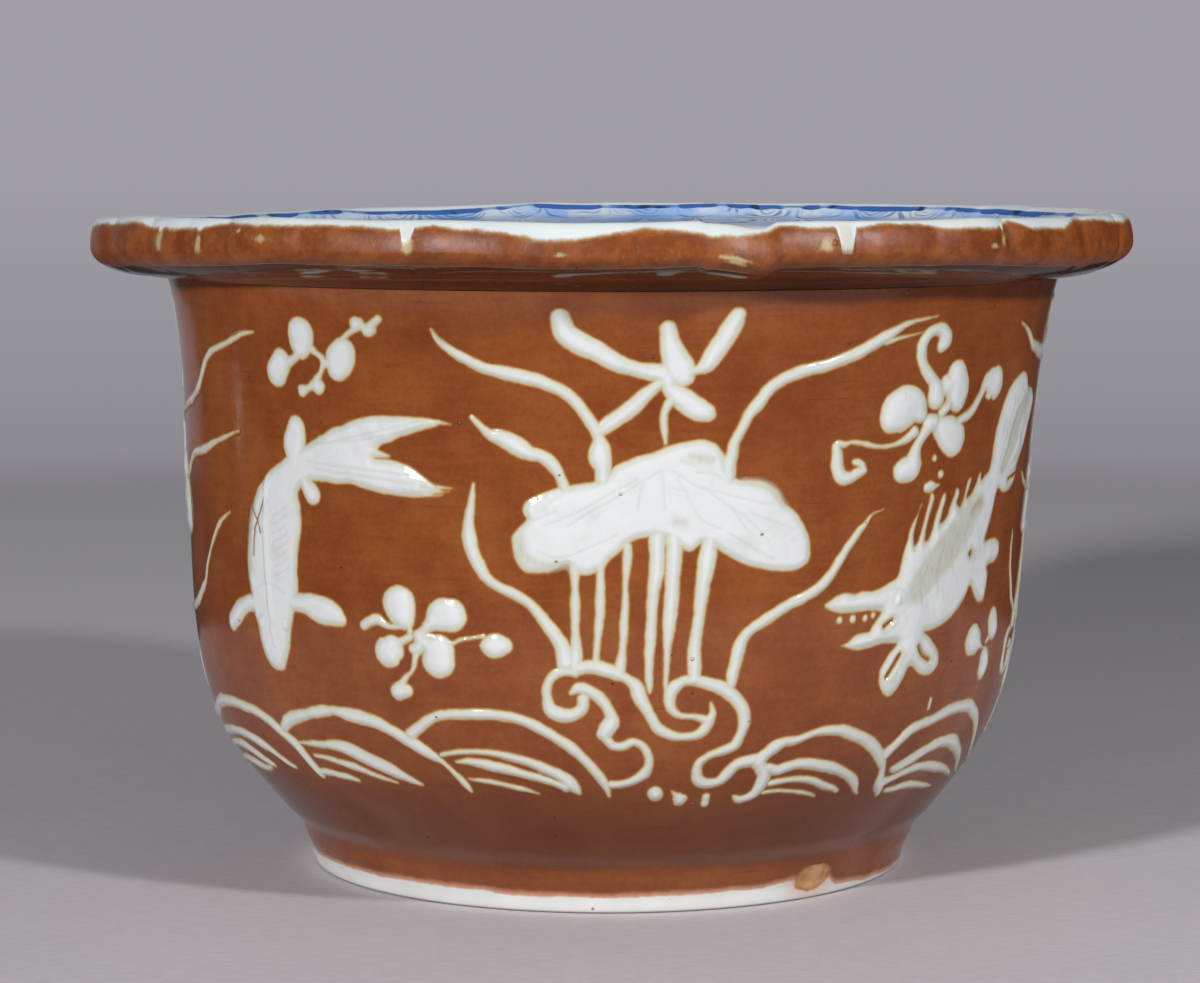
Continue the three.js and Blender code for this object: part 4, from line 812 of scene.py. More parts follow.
MOTIFS = {
    "lotus": {"bodies": [LEAF], "cuts": LEAF_VEINS, "scrapes": LEAF_SCRAPES, "pits": LEAF_PITS,
              "lines": LOTUS_LINES + FRONT_REEDS},
    "carp": {
        "bodies": [[
            (-45.3, 74.8), (-47, 73.6), (-48.8, 72.4), (-50.3, 70.9), (-51.9, 69), (-53.2, 66.4),
            (-54.1, 63.9), (-54.7, 61), (-55.1, 57.8), (-54.9, 55.3), (-54.6, 53.1), (-54.1, 50.4),
            (-53.5, 48.6), (-52.9, 45.9), (-52.2, 43.9), (-50.95, 42.3), (-49.6, 41.8), (-48.2, 42.3),
            (-47.5, 43.6), (-46.7, 45.5), (-46.1, 48.4), (-45.3, 51.3), (-44.6, 53.1), (-44.3, 54.6),
            (-44.3, 57.1), (-44, 60), (-43.5, 62.5), (-43, 65.4), (-43.1, 67.5), (-43.4, 69.5),
            (-42.5, 70.8), (-40.05, 71.5), (-38.5, 71.5), (-36.3, 71.3), (-34.3, 71.4), (-32.9, 71),
            (-30.9, 70.6), (-29, 70.3), (-27.1, 70.1), (-25.1, 70.1), (-23.2, 70.3), (-21.1, 71.3),
            (-22.2, 71.9), (-23.7, 73.1), (-25.4, 74.4), (-26.8, 75.1), (-28.5, 75.4), (-30.6, 75.45),
            (-28.2, 75.9), (-30, 76.95), (-29.2, 77.7), (-28.3, 78), (-26.8, 78.8), (-24.9, 79.4),
            (-23.2, 80.1), (-21.7, 80.7), (-20.9, 81.1), (-22.9, 81.7), (-25.4, 81.85), (-27.8, 81.8),
            (-30.5, 81.7), (-32.4, 81.3), (-33.9, 80.8), (-35.1, 80.2), (-36.3, 79.8), (-37.5, 79.25),
            (-38.7, 78.4), (-40.2, 77.5), (-41.4, 76.9),
        ]],
        "lines": [
            [(-43.1, 79.3, 3.1), (-43.35, 78, 3.8), (-43.7, 76.4, 4.1), (-43.7, 75.2, 3.3)],
            [(-42, 71.3, 2.2), (-40.8, 69.5, 2.8)],
            [(-53.5, 51.9, 2.4), (-55.8, 51.4, 2.2), (-57.3, 50.6, 2.5), (-59, 49.3, 2.9),
             (-60.5, 48.1, 2.5)],
            [(-45.2, 52.9, 2.5), (-43.2, 52.8, 2.6), (-41.4, 52.5, 3.4), (-39.7, 52.1, 3.7), (-37.9, 51.6, 3),
             (-36.9, 51, 1.8)],
            [(-21.6, 81.2, .5), (-19.9, 80.9, .1)], [(-22, 71.6, .5), (-19.9, 71.5, .1)],
            [(-22.8, 70.9, .5), (-20.3, 71, .1)], [(-24, 70.4, .5), (-21.2, 70.5, .1)],
        ],
        "bumps": [
            [(-49.3, 73, 1), (-49.8, 66, 1.3), (-50, 58, 1.4), (-49.6, 51, 1.4), (-49.2, 46, 1)],
            [(-52, 49, 1.3), (-52, 48.7, 1.3)], [(-46.9, 49.1, 1.2), (-46.8, 48.8, 1.2)],
        ],
        "scratches": [[(-50.1, 68.2), (-51.4, 65.4), (-52.7, 63.2)],
                      [(-53.4, 66.6), (-51.8, 64.6), (-51.2, 62.8)],
                      [(-52.6, 63), (-53, 61), (-53.1, 59.2)]],
        "scrapes": [[(-53.2, 66, .9), (-53.9, 61.5, 1), (-54, 57, .8)], [(-24, 71.7, .5), (-22.3, 71.3, .5)]],
        "cuts": [
            [(-52.8, 54), (-51.6, 54.9), (-50.2, 55.2), (-48.5, 54.9), (-46.6, 54)],
            [(-53, 48.9), (-52.7, 49.9), (-51.8, 50.3)], [(-45.9, 49), (-46.3, 50), (-47.1, 50.3)],
            *([(-48.4, 56.6 + 1.3 * i), (-46.9, 57.2 + 1.3 * i), (-45.6, 58.2 + 1.3 * i)] for i in range(8)),
            [(-49.1, 67.9), (-50.6, 65.7), (-52, 63.9), (-52.8, 62.1), (-53.2, 60.3)],
            [(-52.5, 65.7), (-50.9, 66.3)], [(-53.8, 63.3), (-51.9, 63.9), (-50.5, 62.7)],
            *([(-41 + i, 77.4 - .8 * abs(i - 1)), (-33, 78.6 - .9 * i),
               (-24, 81.2 - 1.6 * i)] for i in (0, .7)),
            *([(-41 + i, 74.4 - i), (-33, 73.8 - i), (-25, 73.2 - 1.2 * i)] for i in (0, 1)),
        ],
    },
    "spiny_fish": {
        "bodies": [[
            (27.75, 53.7), (28.6, 54.4), (29.5, 55), (30.9, 55.3), (32.2, 55.1), (33.55, 55.4), (35.2, 55.2),
            (36.8, 55.7), (38.1, 56.35), (39.2, 57), (39.6, 58.3), (40.2, 60.2), (40.6, 61.8), (41, 63.4),
            (41.5, 64.7), (42.2, 66.1), (43.1, 67.9), (42.3, 65.3), (41.8, 63.7), (41.8, 62.1), (42.05, 61.4),
            (42.5, 61.8), (43.3, 63.7), (43.9, 66), (44.5, 67.9), (45, 69.2), (45.3, 68.8), (44.9, 66.9),
            (44.3, 64.7), (44, 63.1), (44, 62), (44.6, 62.1), (45.15, 63.1), (45.8, 65), (46.5, 66.9),
            (47.2, 68.8), (47.6, 69.1), (47.8, 68.5), (47.4, 66.9), (46.9, 65.3), (46.8, 64.4),
            (47.6, 64.7), (48.4, 65.5), (48.9, 66.9), (49.6, 68.5), (50.3, 69.5), (50.7, 68.8),
            (50.3, 67.2), (51.2, 66.4), (51.6, 67.2), (52.2, 69.2), (53, 70.8), (53.4, 70.9), (53.2, 69.8),
            (52.6, 67.9), (53.5, 68.2), (54.55, 69.3), (55.8, 71.4), (56.1, 70.2), (57, 70.7),
            (57.9, 71.25), (58.5, 72.2), (58.8, 74), (59.1, 75.8), (59.4, 77.6), (60.2, 79.7), (61.2, 81.9),
            (62.75, 84), (64.6, 85.3), (66.4, 86), (68.2, 86), (69.7, 85.3), (70.5, 84), (71.85, 83.3),
            (73.7, 83.1), (74.7, 82.1), (75, 80.8), (74.3, 79.4), (73.1, 77.6), (71.85, 75.8), (71.4, 74.3),
            (70, 72.9), (68.5, 71.1), (68.2, 69.8), (67, 68.4), (64.9, 67.6), (63.05, 67.8), (61.5, 68.4),
            (60.6, 66.75), (60, 64.95), (59.1, 62.8), (58.2, 60.6), (60, 60.7), (61.8, 60.6), (63.2, 59.55),
            (63.05, 57.9), (61.5, 57), (60, 56.85), (59.35, 56.5), (59.65, 55.6), (59.5, 53.4),
            (58.8, 51.3), (57.6, 51.3), (56.1, 52.5), (54.55, 54.15), (54, 53.15), (53, 51.9), (51.6, 50.6),
            (50, 49.6), (48.4, 48.8), (46.5, 48.3), (44.9, 48.1), (46, 47.1), (47.3, 45.8), (48.3, 44.2),
            (48.3, 42.6), (47.3, 41.5), (46, 41.3), (44.3, 41.95), (43, 43.1), (42.5, 43.2), (41.65, 41.5),
            (40.7, 39.9), (39.2, 38.8), (37.9, 39.7), (37.2, 41.5), (37.3, 43.2), (38.4, 45.15),
            (39.9, 46.9), (38.1, 47.1), (36.25, 47.1), (34.6, 46.8), (32.7, 46.6), (31.4, 47),
            (30.45, 47.4), (31.7, 48), (32.5, 48.7), (33.8, 49.05), (34.9, 49.15), (35.4, 50.1),
            (36.25, 51.1), (36.8, 51.9), (34.9, 52.3), (33, 52.35), (31.4, 52.35), (30, 52.35), (29, 52.7),
            (28.2, 53.15),
        ]],
        "lines": [[(x, y, half), (x, y - .1, half)] for x, y, half in
                  ((30.1, 51.4, .8), (32.15, 51.4, .9), (34.1, 51.4, .8), (35.4, 51.7, .8))],
        "bumps": [[(39.35, 53.7, 1.3), (39.35, 53.5, 1.3)]],
        "scrapes": [[(42.5, 54.5, 3.2), (46, 58, 4.6), (49.3, 61, 4.8), (53, 64.5, 4), (55.5, 67, 2.4)],
                    [(62, 71.5, 1.6), (65, 76, 2.8), (67.5, 80, 2.8), (70.5, 81.5, 2.2)]],
        "holes": [[(37.2, 49.8, .5), (38.5, 50.6, .5)], [(38.3, 41.95, .6), (40.3, 45.15, .5)],
                  [(43.7, 46.1, .4), (44.6, 44.7, .5), (46.1, 43.7, .5)],
                  [(64.3, 69.5, .4), (68.5, 70.2, .5)],
                  [(53.9, 59.2, .9), (53.95, 59.1, .9)], [(54.1, 65.7, .4), (55.8, 66.9, .4)]],
        "cuts": [
            [(62.1, 70.9), (64.6, 72.5)], [(38, 55.3), (39.3, 55.4), (40.6, 54.6), (40.8, 53.4)],
            *([(60.2 + .5 * i, 70.9), (62.3 + 1.5 * i, 76 - 1.1 * i),
               (64.5 + 2 * i, 81.8 - 1.3 * i)] for i in range(5)),
            *([(44 + 3 * i, 52 + 2.2 * i), (43.6 + 3 * i, 55.5 + 2.2 * i), (44.8 + 3 * i, 58.5 + 2.2 * i)]
              for i in range(4)),
        ],
    },
    "sprig_upper_left": {"lines": [
        [(-41, 93.5, 4.4), (-41.1, 92, 3.8), (-41.2, 90.7, 2)], [(-45.1, 88.9, 3.7), (-46, 87.5, 3.9)],
        [(-41.2, 90.9, 1.6), (-41.9, 90.2, 1.2), (-43.2, 89.3, 1.3), (-44.3, 88.8, 2)],
        [(-39.8, 91.5, 1.3), (-38.7, 90.7, .85), (-37.8, 90, .9), (-37.4, 89.2, 1.2), (-36.6, 89.3, 1.2)],
        [(-34.4, 91, 3.8), (-34.9, 89.9, 4.6), (-35.4, 88.5, 3.3)],
        [(-37.5, 89.2, 1.1), (-38.2, 87.8, .7), (-38.9, 86.2, 1.7), (-38.7, 85.7, 2.1)],
        [(-39.2, 86, 1.5), (-40.4, 85.4, .8), (-41.6, 84.85, 1.5)],
        [(-34.3, 92.9, .9), (-33.2, 93.9, .8), (-32.3, 94.6, 1), (-32, 95.3, 1.9), (-30.9, 94.8, 1),
         (-30.3, 94.4, 1.8), (-29.5, 95.4, 1.1), (-28.75, 96.1, 1.1)],
    ]},
    "sprig_lower_left": {"lines": [
        [(-27.7, 54.1, 4.8), (-27.1, 52.2, 3.4), (-26.4, 50.9, .9), (-26.2, 49.9, .9)],
        [(-20.5, 52.8, 4.3), (-21.5, 52.8, 4.3), (-23.3, 51.4, 1.9), (-24.5, 50.1, 1.3), (-25.3, 49.5, 1.3)],
        [(-29.4, 46.9, 4.4), (-27.7, 48.4, 1.2), (-26.3, 49.2, 1.1)],
        [(-22.3, 47.4, 4.3), (-22.4, 45.9, 4.6)], [(-22.6, 47.4, 3), (-23.9, 48.3, 2.2), (-24.9, 49.3, 1.6)],
        [(-24.9, 49.3, 1.8), (-24.9, 47.9, 2), (-25.8, 47.5, 1.4)],
        [(-25.5, 47.1, 1), (-25.8, 45.4, .65), (-26.3, 44, .6), (-27.1, 43.2, .7), (-27.7, 42.3, 1.1),
         (-28.5, 40.8, 2.3)],
        [(-28.5, 40.8, 2.3), (-27.2, 41, 1.7)],
        [(-26.2, 50.7, .6), (-27.3, 50.7, .5), (-28.3, 50.6, .7), (-29.4, 50.6, .75), (-30.3, 51.1, 1.1),
         (-31, 51.5, 1.5), (-32.2, 51.1, 1.45), (-33.05, 50.5, 1.25)],
        [(-24.3, 49.6, 1), (-22.9, 49.3, .8), (-21.4, 48.7, .7), (-20.5, 48.6, .5), (-19.4, 49.2, .5),
         (-18.2, 49.5, .45), (-17, 49.75, .45), (-16.2, 49.9, .6)],
        [(-16.5, 48.5, .6), (-14.9, 48.5, 3.1), (-13.5, 48.6, 2.2)],
    ]},
    "sprig_upper_right": {"lines": [
        [(44.6, 91.6, 1.9), (45.1, 92.45, 2.5), (44.65, 93.6, 2), (43.5, 94, 1.7), (42.2, 93.65, 1.55),
         (41.3, 92.45, 1.6), (41, 90.8, 1.6), (41.4, 89.05, 1.7), (42.5, 87.5, 1.75), (43.75, 86.1, 1.9),
         (44.4, 84.6, 2.9), (44.45, 83.65, 3.2)],
        [(37, 81.2, 4.2), (38, 82.1, 5.7), (40.6, 82.7, 4.3), (41.8, 81.5, 2.6)],
        [(48.2, 87, 3.9), (48.6, 84.6, 4.9), (48.75, 83.4, 3.8)], [(46.5, 85.5, 3), (46.7, 85.4, 3)],
        [(47, 82.5, 1.5), (45.8, 81.3, 1.5)],
        [(49.6, 79.9, 1.2), (50.3, 80.2, 1.2), (51.9, 80.9, 1.3), (53.2, 82.2, 1.25), (54.1, 83.5, 1.3),
         (55.2, 85.2, 2), (57.7, 85.2, 4.6)],
        [(56.4, 83.1, .9), (55.8, 83.3, .8)], [(45.7, 79.1, 3), (47.7, 77.9, 4.9), (48.6, 77.3, 5)],
        [(43.6, 79.7, 2.2), (42.9, 78.8, 1.7), (41.8, 77, 1.5), (41.2, 75.2, 2.2), (40.8, 73.5, 3.4),
         (39.3, 73.05, 3.3)],
        [(43.6, 80, 2.6), (44.4, 80, 2.4)],
        [(40.95, 78.8, 1.5), (39.5, 77.75, 1), (37.8, 77.1, .6), (35.2, 76.9, .55), (33.4, 77.3, .6),
         (31.9, 77.7, .55), (30.5, 77.75, .6), (29.8, 77.5, .8), (28.8, 77.6, 1), (28.8, 75.8, 1.7),
         (28.9, 74, 1.8), (29.7, 72.6, 1.8), (31, 72.6, 1.5), (32.1, 73.2, 1.5), (33, 73.5, .9)],
        [(33, 73.5, .9), (32.7, 74.1, 1.1), (32, 74.7, 1), (31.4, 74.8, .7)],
        [(45, 74.5, .85), (45.05, 74.5, .85)], [(46.4, 71.9, 1.05), (46.45, 71.9, 1.05)],
        [(43.9, 70.2, 1.1), (44.6, 70.3, 1.4), (45.6, 70.3, .6), (46.3, 70.4, .25)],
    ]},
    "sprig_lower_right": {"lines": [
        [(57, 45.25, 4.5), (59.3, 44.1, .9), (59.7, 43.9, .6), (60.9, 43.3, .6), (61.2, 42.2, 2.6),
         (61.5, 41, 3.4), (61.3, 40.2, 3.1)],
        [(62.9, 47.85, 3.3), (63.35, 46.4, 3.5)], [(61.2, 44.4, .5), (62, 45, .8)],
    ]},
    "waves_left": {"lines": [
        [(-27.3, 34.2, 1.7), (-26.2, 35.2, 1.6), (-24.2, 36.8, 1.35), (-22, 37.7, 1.3), (-20, 37.9, 1.4),
         (-17.15, 38.1, 1.45), (-14.3, 38, 1.35), (-11.85, 37.5, 1.35), (-9.7, 36.45, 1.45),
         (-7.7, 35.05, 1.5), (-5.7, 33.5, 1.5), (-4, 31.6, 1.35), (-2.6, 29.75, 1.35), (-1.3, 27.7, 1.3),
         (-.7, 26.4, 1), (-.35, 24.75, .35)],
        [(-51, 32.5, 1.6), (-49.6, 33.8, 2), (-47.7, 34.6, 1.9), (-45.6, 35.3, 1.6), (-43.5, 35.95, 1.6),
         (-41.3, 36.4, 1.55), (-39.5, 36.65, 1.35), (-37.5, 36.4, 1.8), (-35.1, 36.1, 1.95), (-33, 35.7, 1.9),
         (-30.5, 34.6, 1.65), (-28.1, 33.2, 1.6), (-26.4, 32.1, 1.9), (-24.7, 30.9, 1.4), (-23.5, 30.1, .85),
         (-22.2, 28.6, .8), (-21.2, 27.2, 1), (-20.3, 25.7, .9), (-19.9, 24.9, .4)],
        [(-82, 30.1, 2.3), (-79, 30.8, 2.2), (-76.8, 31.7, 1.9), (-74.7, 32.7, 1.75), (-72.6, 33.4, 1.8),
         (-70.5, 34, 1.75), (-68.3, 34.3, 1.6), (-66.2, 34.5, 1.6), (-63.8, 34.6, 1.5), (-61.4, 34.4, 1.6),
         (-59.2, 34.3, 1.45), (-57.1, 34, 1.6), (-55, 33.25, 1.7), (-53.2, 32.3, 1.6), (-51.65, 31.3, 1.6),
         (-49.4, 29.8, 1.9), (-47.9, 27.6, 1.9), (-46.8, 25.8, 1.7), (-46.2, 24.9, 1.4)],
        [(-46.2, 25.5, .9), (-44.7, 25.6, 1.1), (-42.5, 25.4, 1), (-40.1, 25.25, .9), (-38.6, 24.9, .6)],
    ]},
    "waves_right": {"lines": [
        [(20, 30.1, 2.4), (20.9, 31.3, 1.8), (22.2, 32.4, 1.9), (23.5, 33.15, 1.35), (25, 33.2, 1.15),
         (26.5, 33.75, 1.05), (28.3, 34.3, 1.05), (30.1, 34.4, 1.25), (31.9, 34.2, 1.6), (33.7, 33.5, 1.7),
         (35.5, 32.7, 1.8), (37.25, 31.6, 1.8), (38.8, 30.3, 1.8), (40.1, 28.9, 1.8), (41.1, 27.5, 1.6),
         (41.7, 26.5, 1.2), (42.1, 25, 1.3), (42.6, 23.1, 1.8), (43.4, 21.9, 1.5), (43.6, 21, .8)],
        [(20.5, 29.2, 2), (21.2, 27.7, 2.1), (21, 25.9, 2.1), (20.5, 24.5, 1.6), (19.1, 23.45, 1.2),
         (18.2, 23.3, 1.2), (17.6, 23.75, .7), (17.3, 24.05, .3)],
        [(21.7, 28.9, 1.4), (22.9, 28.4, 1.5), (24.7, 28.9, 1.55), (26.3, 29.15, 1.6), (28.05, 29, 1.7),
         (29.8, 28.5, 1.7), (31.9, 27.8, 1.7), (33.7, 27, 1.6), (35.2, 26.1, 1.5), (36.5, 25.1, 1.5),
         (37.4, 23.9, 1.1), (38, 22.8, .8), (38.8, 21.9, .3)],
        [(22.4, 26, .9), (24.2, 26.3, 1), (26, 26.4, 1.05), (27.8, 26.2, 1), (29.3, 25.8, 1.05),
         (30.9, 25, 1.1), (32.1, 24.35, 1.15), (33.4, 23.8, 1), (34.3, 23.2, .7)],
        [(21.7, 24.35, .6), (23.5, 24.5, .5), (25.2, 24.35, .6), (27, 23.95, .55), (28.6, 23.5, .55),
         (29.8, 23.1, .5), (30.6, 22.6, .25)],
        [(41.1, 28.9, 2), (42.4, 30.1, 1.7), (43.9, 31.6, 1.6), (45.4, 32.7, 1.55), (47.1, 33.2, 1.6),
         (49.4, 33.6, 1.5), (51.4, 34.2, 1.6), (53.7, 34.6, 1.7), (56, 34.75, 1.75), (58.3, 34.6, 1.8),
         (60, 34.2, 1.9), (61.7, 33.1, 1.75), (63.4, 32.1, 1.7), (64.7, 30.8, 1.5), (66, 29.1, 1.2),
         (67.7, 27.05, 1.1), (69.4, 25.2, 1), (71.1, 23.8, .9), (73.1, 22.6, .8), (77.1, 21.5, .8)],
        [(42.9, 23.3, 1.8), (44.6, 23.8, 1.2), (46.6, 24.5, 1.35), (48.6, 25, 1.35), (50.85, 25.2, 1.4),
         (53.1, 24.9, 1.55), (55.4, 24.3, 1.55), (57.7, 23.7, 1.4), (60, 23, 1.1), (62.3, 22.1, .9),
         (64.3, 21.3, .6), (66, 20.4, .35)],
        [(48.1, 37.2, .45), (48, 35.7, .45)],
    ]},
    "ripple_1": {"lines": [[
        (-82, 26.5, 1.85), (-79, 27.2, 1.75), (-75.9, 27.85, 1.7), (-72.9, 28.4, 1.5), (-69.9, 29, 1.45),
        (-66.8, 29.2, 1.35), (-64.4, 29.2, 1.5), (-62, 28.85, 1.6), (-59.5, 28.3, 1.7), (-57.7, 27.8, 1.5),
        (-55.9, 26.9, 1.1), (-54.1, 26, 1.1), (-52.9, 25.5, .8), (-52.1, 25.25, .5)]]},
    "ripple_2": {"lines": [
        [(-82, 24, 1.3), (-79, 24.9, 1.3), (-75.9, 25.6, 1.3), (-72.9, 26.15, 1.3), (-69.9, 26.5, 1.5),
         (-66.8, 26.45, 1.7), (-63.8, 25.8, 1.6), (-61.4, 25.1, 1.4), (-59.5, 24.6, 1.1), (-58.8, 24.5, .7)],
        [(-82, 20.9, 1.2), (-79, 21.8, 1.2), (-75.9, 22.55, 1.2), (-72.9, 23.3, 1.2), (-69.9, 23.45, 1.6),
         (-66.8, 23.3, 1.8), (-63.8, 23.1, 1.4), (-62, 23.3, 1), (-60.8, 23.8, .8)]]},
    "ripple_3": {"lines": [[
        (-48.3, 30.3, .4), (-45.6, 30.5, .8), (-43.2, 30.7, 1.2), (-40.7, 30.8, 1.6), (-38, 30.4, 2.1),
        (-35.8, 29.4, 2.2), (-33.7, 28.5, 2.1), (-31.6, 27.6, 2), (-29.9, 26.7, 1.4), (-28.5, 25.95, .9),
        (-27.4, 25.5, .4)]]},
    "ripple_4": {"lines": [[
        (-45.9, 28.4, .5), (-43.8, 28.4, .7), (-41.3, 28, .9), (-39.6, 27.7, 1.15), (-37.1, 27.1, 1),
        (-35.1, 26.4, .95), (-33, 25.8, .7), (-31.5, 25.4, .3)]]},
    "ripple_5": {"lines": [
        [(-23.3, 31.1, .5), (-21.9, 31.5, .65), (-19.8, 31.9, .75), (-17.7, 32, .8), (-15.3, 31.8, 1),
         (-12.9, 31.2, 1.2), (-10.8, 30.5, 1.4), (-8.7, 29.45, 1.5), (-7, 28.4, 1.7), (-5.6, 27, 1.9),
         (-4.9, 26, 1.2), (-4.5, 25.3, .5)],
        [(-21.2, 30.1, .4), (-19.45, 30.3, 1), (-17.4, 30, 1.5), (-14.9, 29.45, 1.5), (-12.5, 28.75, 1.3),
         (-10.1, 28, 1.15), (-8, 27.2, 1.2), (-6.3, 26.4, 1.5)]]},
    "ripple_6": {"lines": [[
        (-19.8, 27.2, .25), (-17.7, 27, .6), (-15.3, 26.6, .75), (-12.9, 25.95, .7), (-10.8, 25.3, .4),
        (-10.1, 25, .2)]]},
    "ripple_7": {"lines": [[
        (43.9, 26, .9), (44.9, 26, 1.6), (46.6, 26.7, 1.9), (48.6, 27.55, 1.9), (50.6, 28.4, 1.75),
        (52.85, 29, 1.8), (55.1, 29.1, 1.9), (57.1, 28.75, 2.1), (59.1, 27.8, 2), (61.1, 26.6, 1.7),
        (62.9, 25.5, 1.5), (64.6, 24, 1.2), (66.3, 22.5, 1), (68, 21.1, .7), (69.7, 20.1, .4)]]},
    "ripple_8": {"lines": [[
        (44.9, 21.6, .8), (46.6, 21.55, 1.2), (48.6, 21.8, 1.35), (50.6, 21.7, 1.3), (52.6, 21.35, 1.2),
        (54.6, 20.85, 1), (56.6, 20.3, .85), (58.3, 19.9, .5), (59.3, 19.7, .25)]]},
}
SIDE_LOTUS = {"bodies": leaned([LEAF]), "cuts": leaned(LEAF_VEINS), "lines": leaned(LOTUS_LINES) + SIDE_REEDS}


# The relief that the drawing becomes

CELL = 0.42  # mm between the points of a slip surface
STEP = 0.9  # mm between the points along a line, at most
FILM = 0.85  # the glaze over the slip runs out over the wall for this many mm
UNDER = 0.25  # the underside of the slip lies this far inside the wall
FAR = -5.0  # the depth of bare wall
SHOULDER = 2.4  # the width of a body's round shoulder in mm
BODY_REACH = 6.0  # how far from a body's outline its depth is measured, in mm

# How the cut passes through a cell, by which of its corners are inside (1, 2, 4, 8). Numbers 0 to 3 are its
# corners, anticlockwise, and 4 to 7 the points on the sides after them.
CUTS = {
    1: [(0, 4, 7)], 2: [(1, 5, 4)], 3: [(0, 1, 5, 7)], 4: [(2, 6, 5)], 5: [(0, 4, 7), (2, 6, 5)],
    6: [(1, 2, 6, 4)], 7: [(0, 1, 2, 6, 7)], 8: [(3, 7, 6)], 9: [(0, 4, 6, 3)], 10: [(1, 5, 4), (3, 7, 6)],
    11: [(0, 1, 5, 6, 3)], 12: [(2, 3, 7, 5)], 13: [(0, 4, 5, 2, 3)], 14: [(1, 2, 3, 7, 4)],
    15: [(0, 1, 2, 3)],
}


def smooth_line(points, closed=False):
    """A line of slip in flat mm: cubic pieces through its points, cut into steps.

    A piece is (2t^3 - 3t^2 + 1) a + (t^3 - 2t^2 + t) m + (3t^2 - 2t^3) b + (t^3 - t^2) n, where m and n are
    the slopes at its ends a and b, which weigh the rates on either side by distance, times the gap.
    """
    flat = np.array([(p[0] * DEGREE, p[1] * PERCENT, p[2] if len(p) > 2 else 0.0) for p in points])
    if closed:
        flat = np.concatenate([flat[-2:], flat, flat[:3]])
    gaps = np.maximum(np.hypot(*np.diff(flat[:, :2], axis=0).T), 1e-3)[:, None]
    rates = np.diff(flat, axis=0) / gaps
    inner = (rates[:-1] * gaps[1:] + rates[1:] * gaps[:-1]) / (gaps[:-1] + gaps[1:])
    slopes = np.concatenate([rates[:1], inner, rates[-1:]])
    pieces = []
    for a, b, ma, mb, gap in zip(flat[:-1], flat[1:], slopes[:-1], slopes[1:], gaps[:, 0]):
        t = np.linspace(0, 1, max(1, math.ceil(gap / STEP)) + 1)[:-1, None]
        pieces.append((2 * t ** 3 - 3 * t ** 2 + 1) * a + (t ** 3 - 2 * t ** 2 + t) * gap * ma
                      + (3 * t ** 2 - 2 * t ** 3) * b + (t ** 3 - t ** 2) * gap * mb)
    if closed:
        return np.concatenate([*pieces[2:-2], flat[2:3]])
    return np.concatenate([*pieces, flat[-1:]])


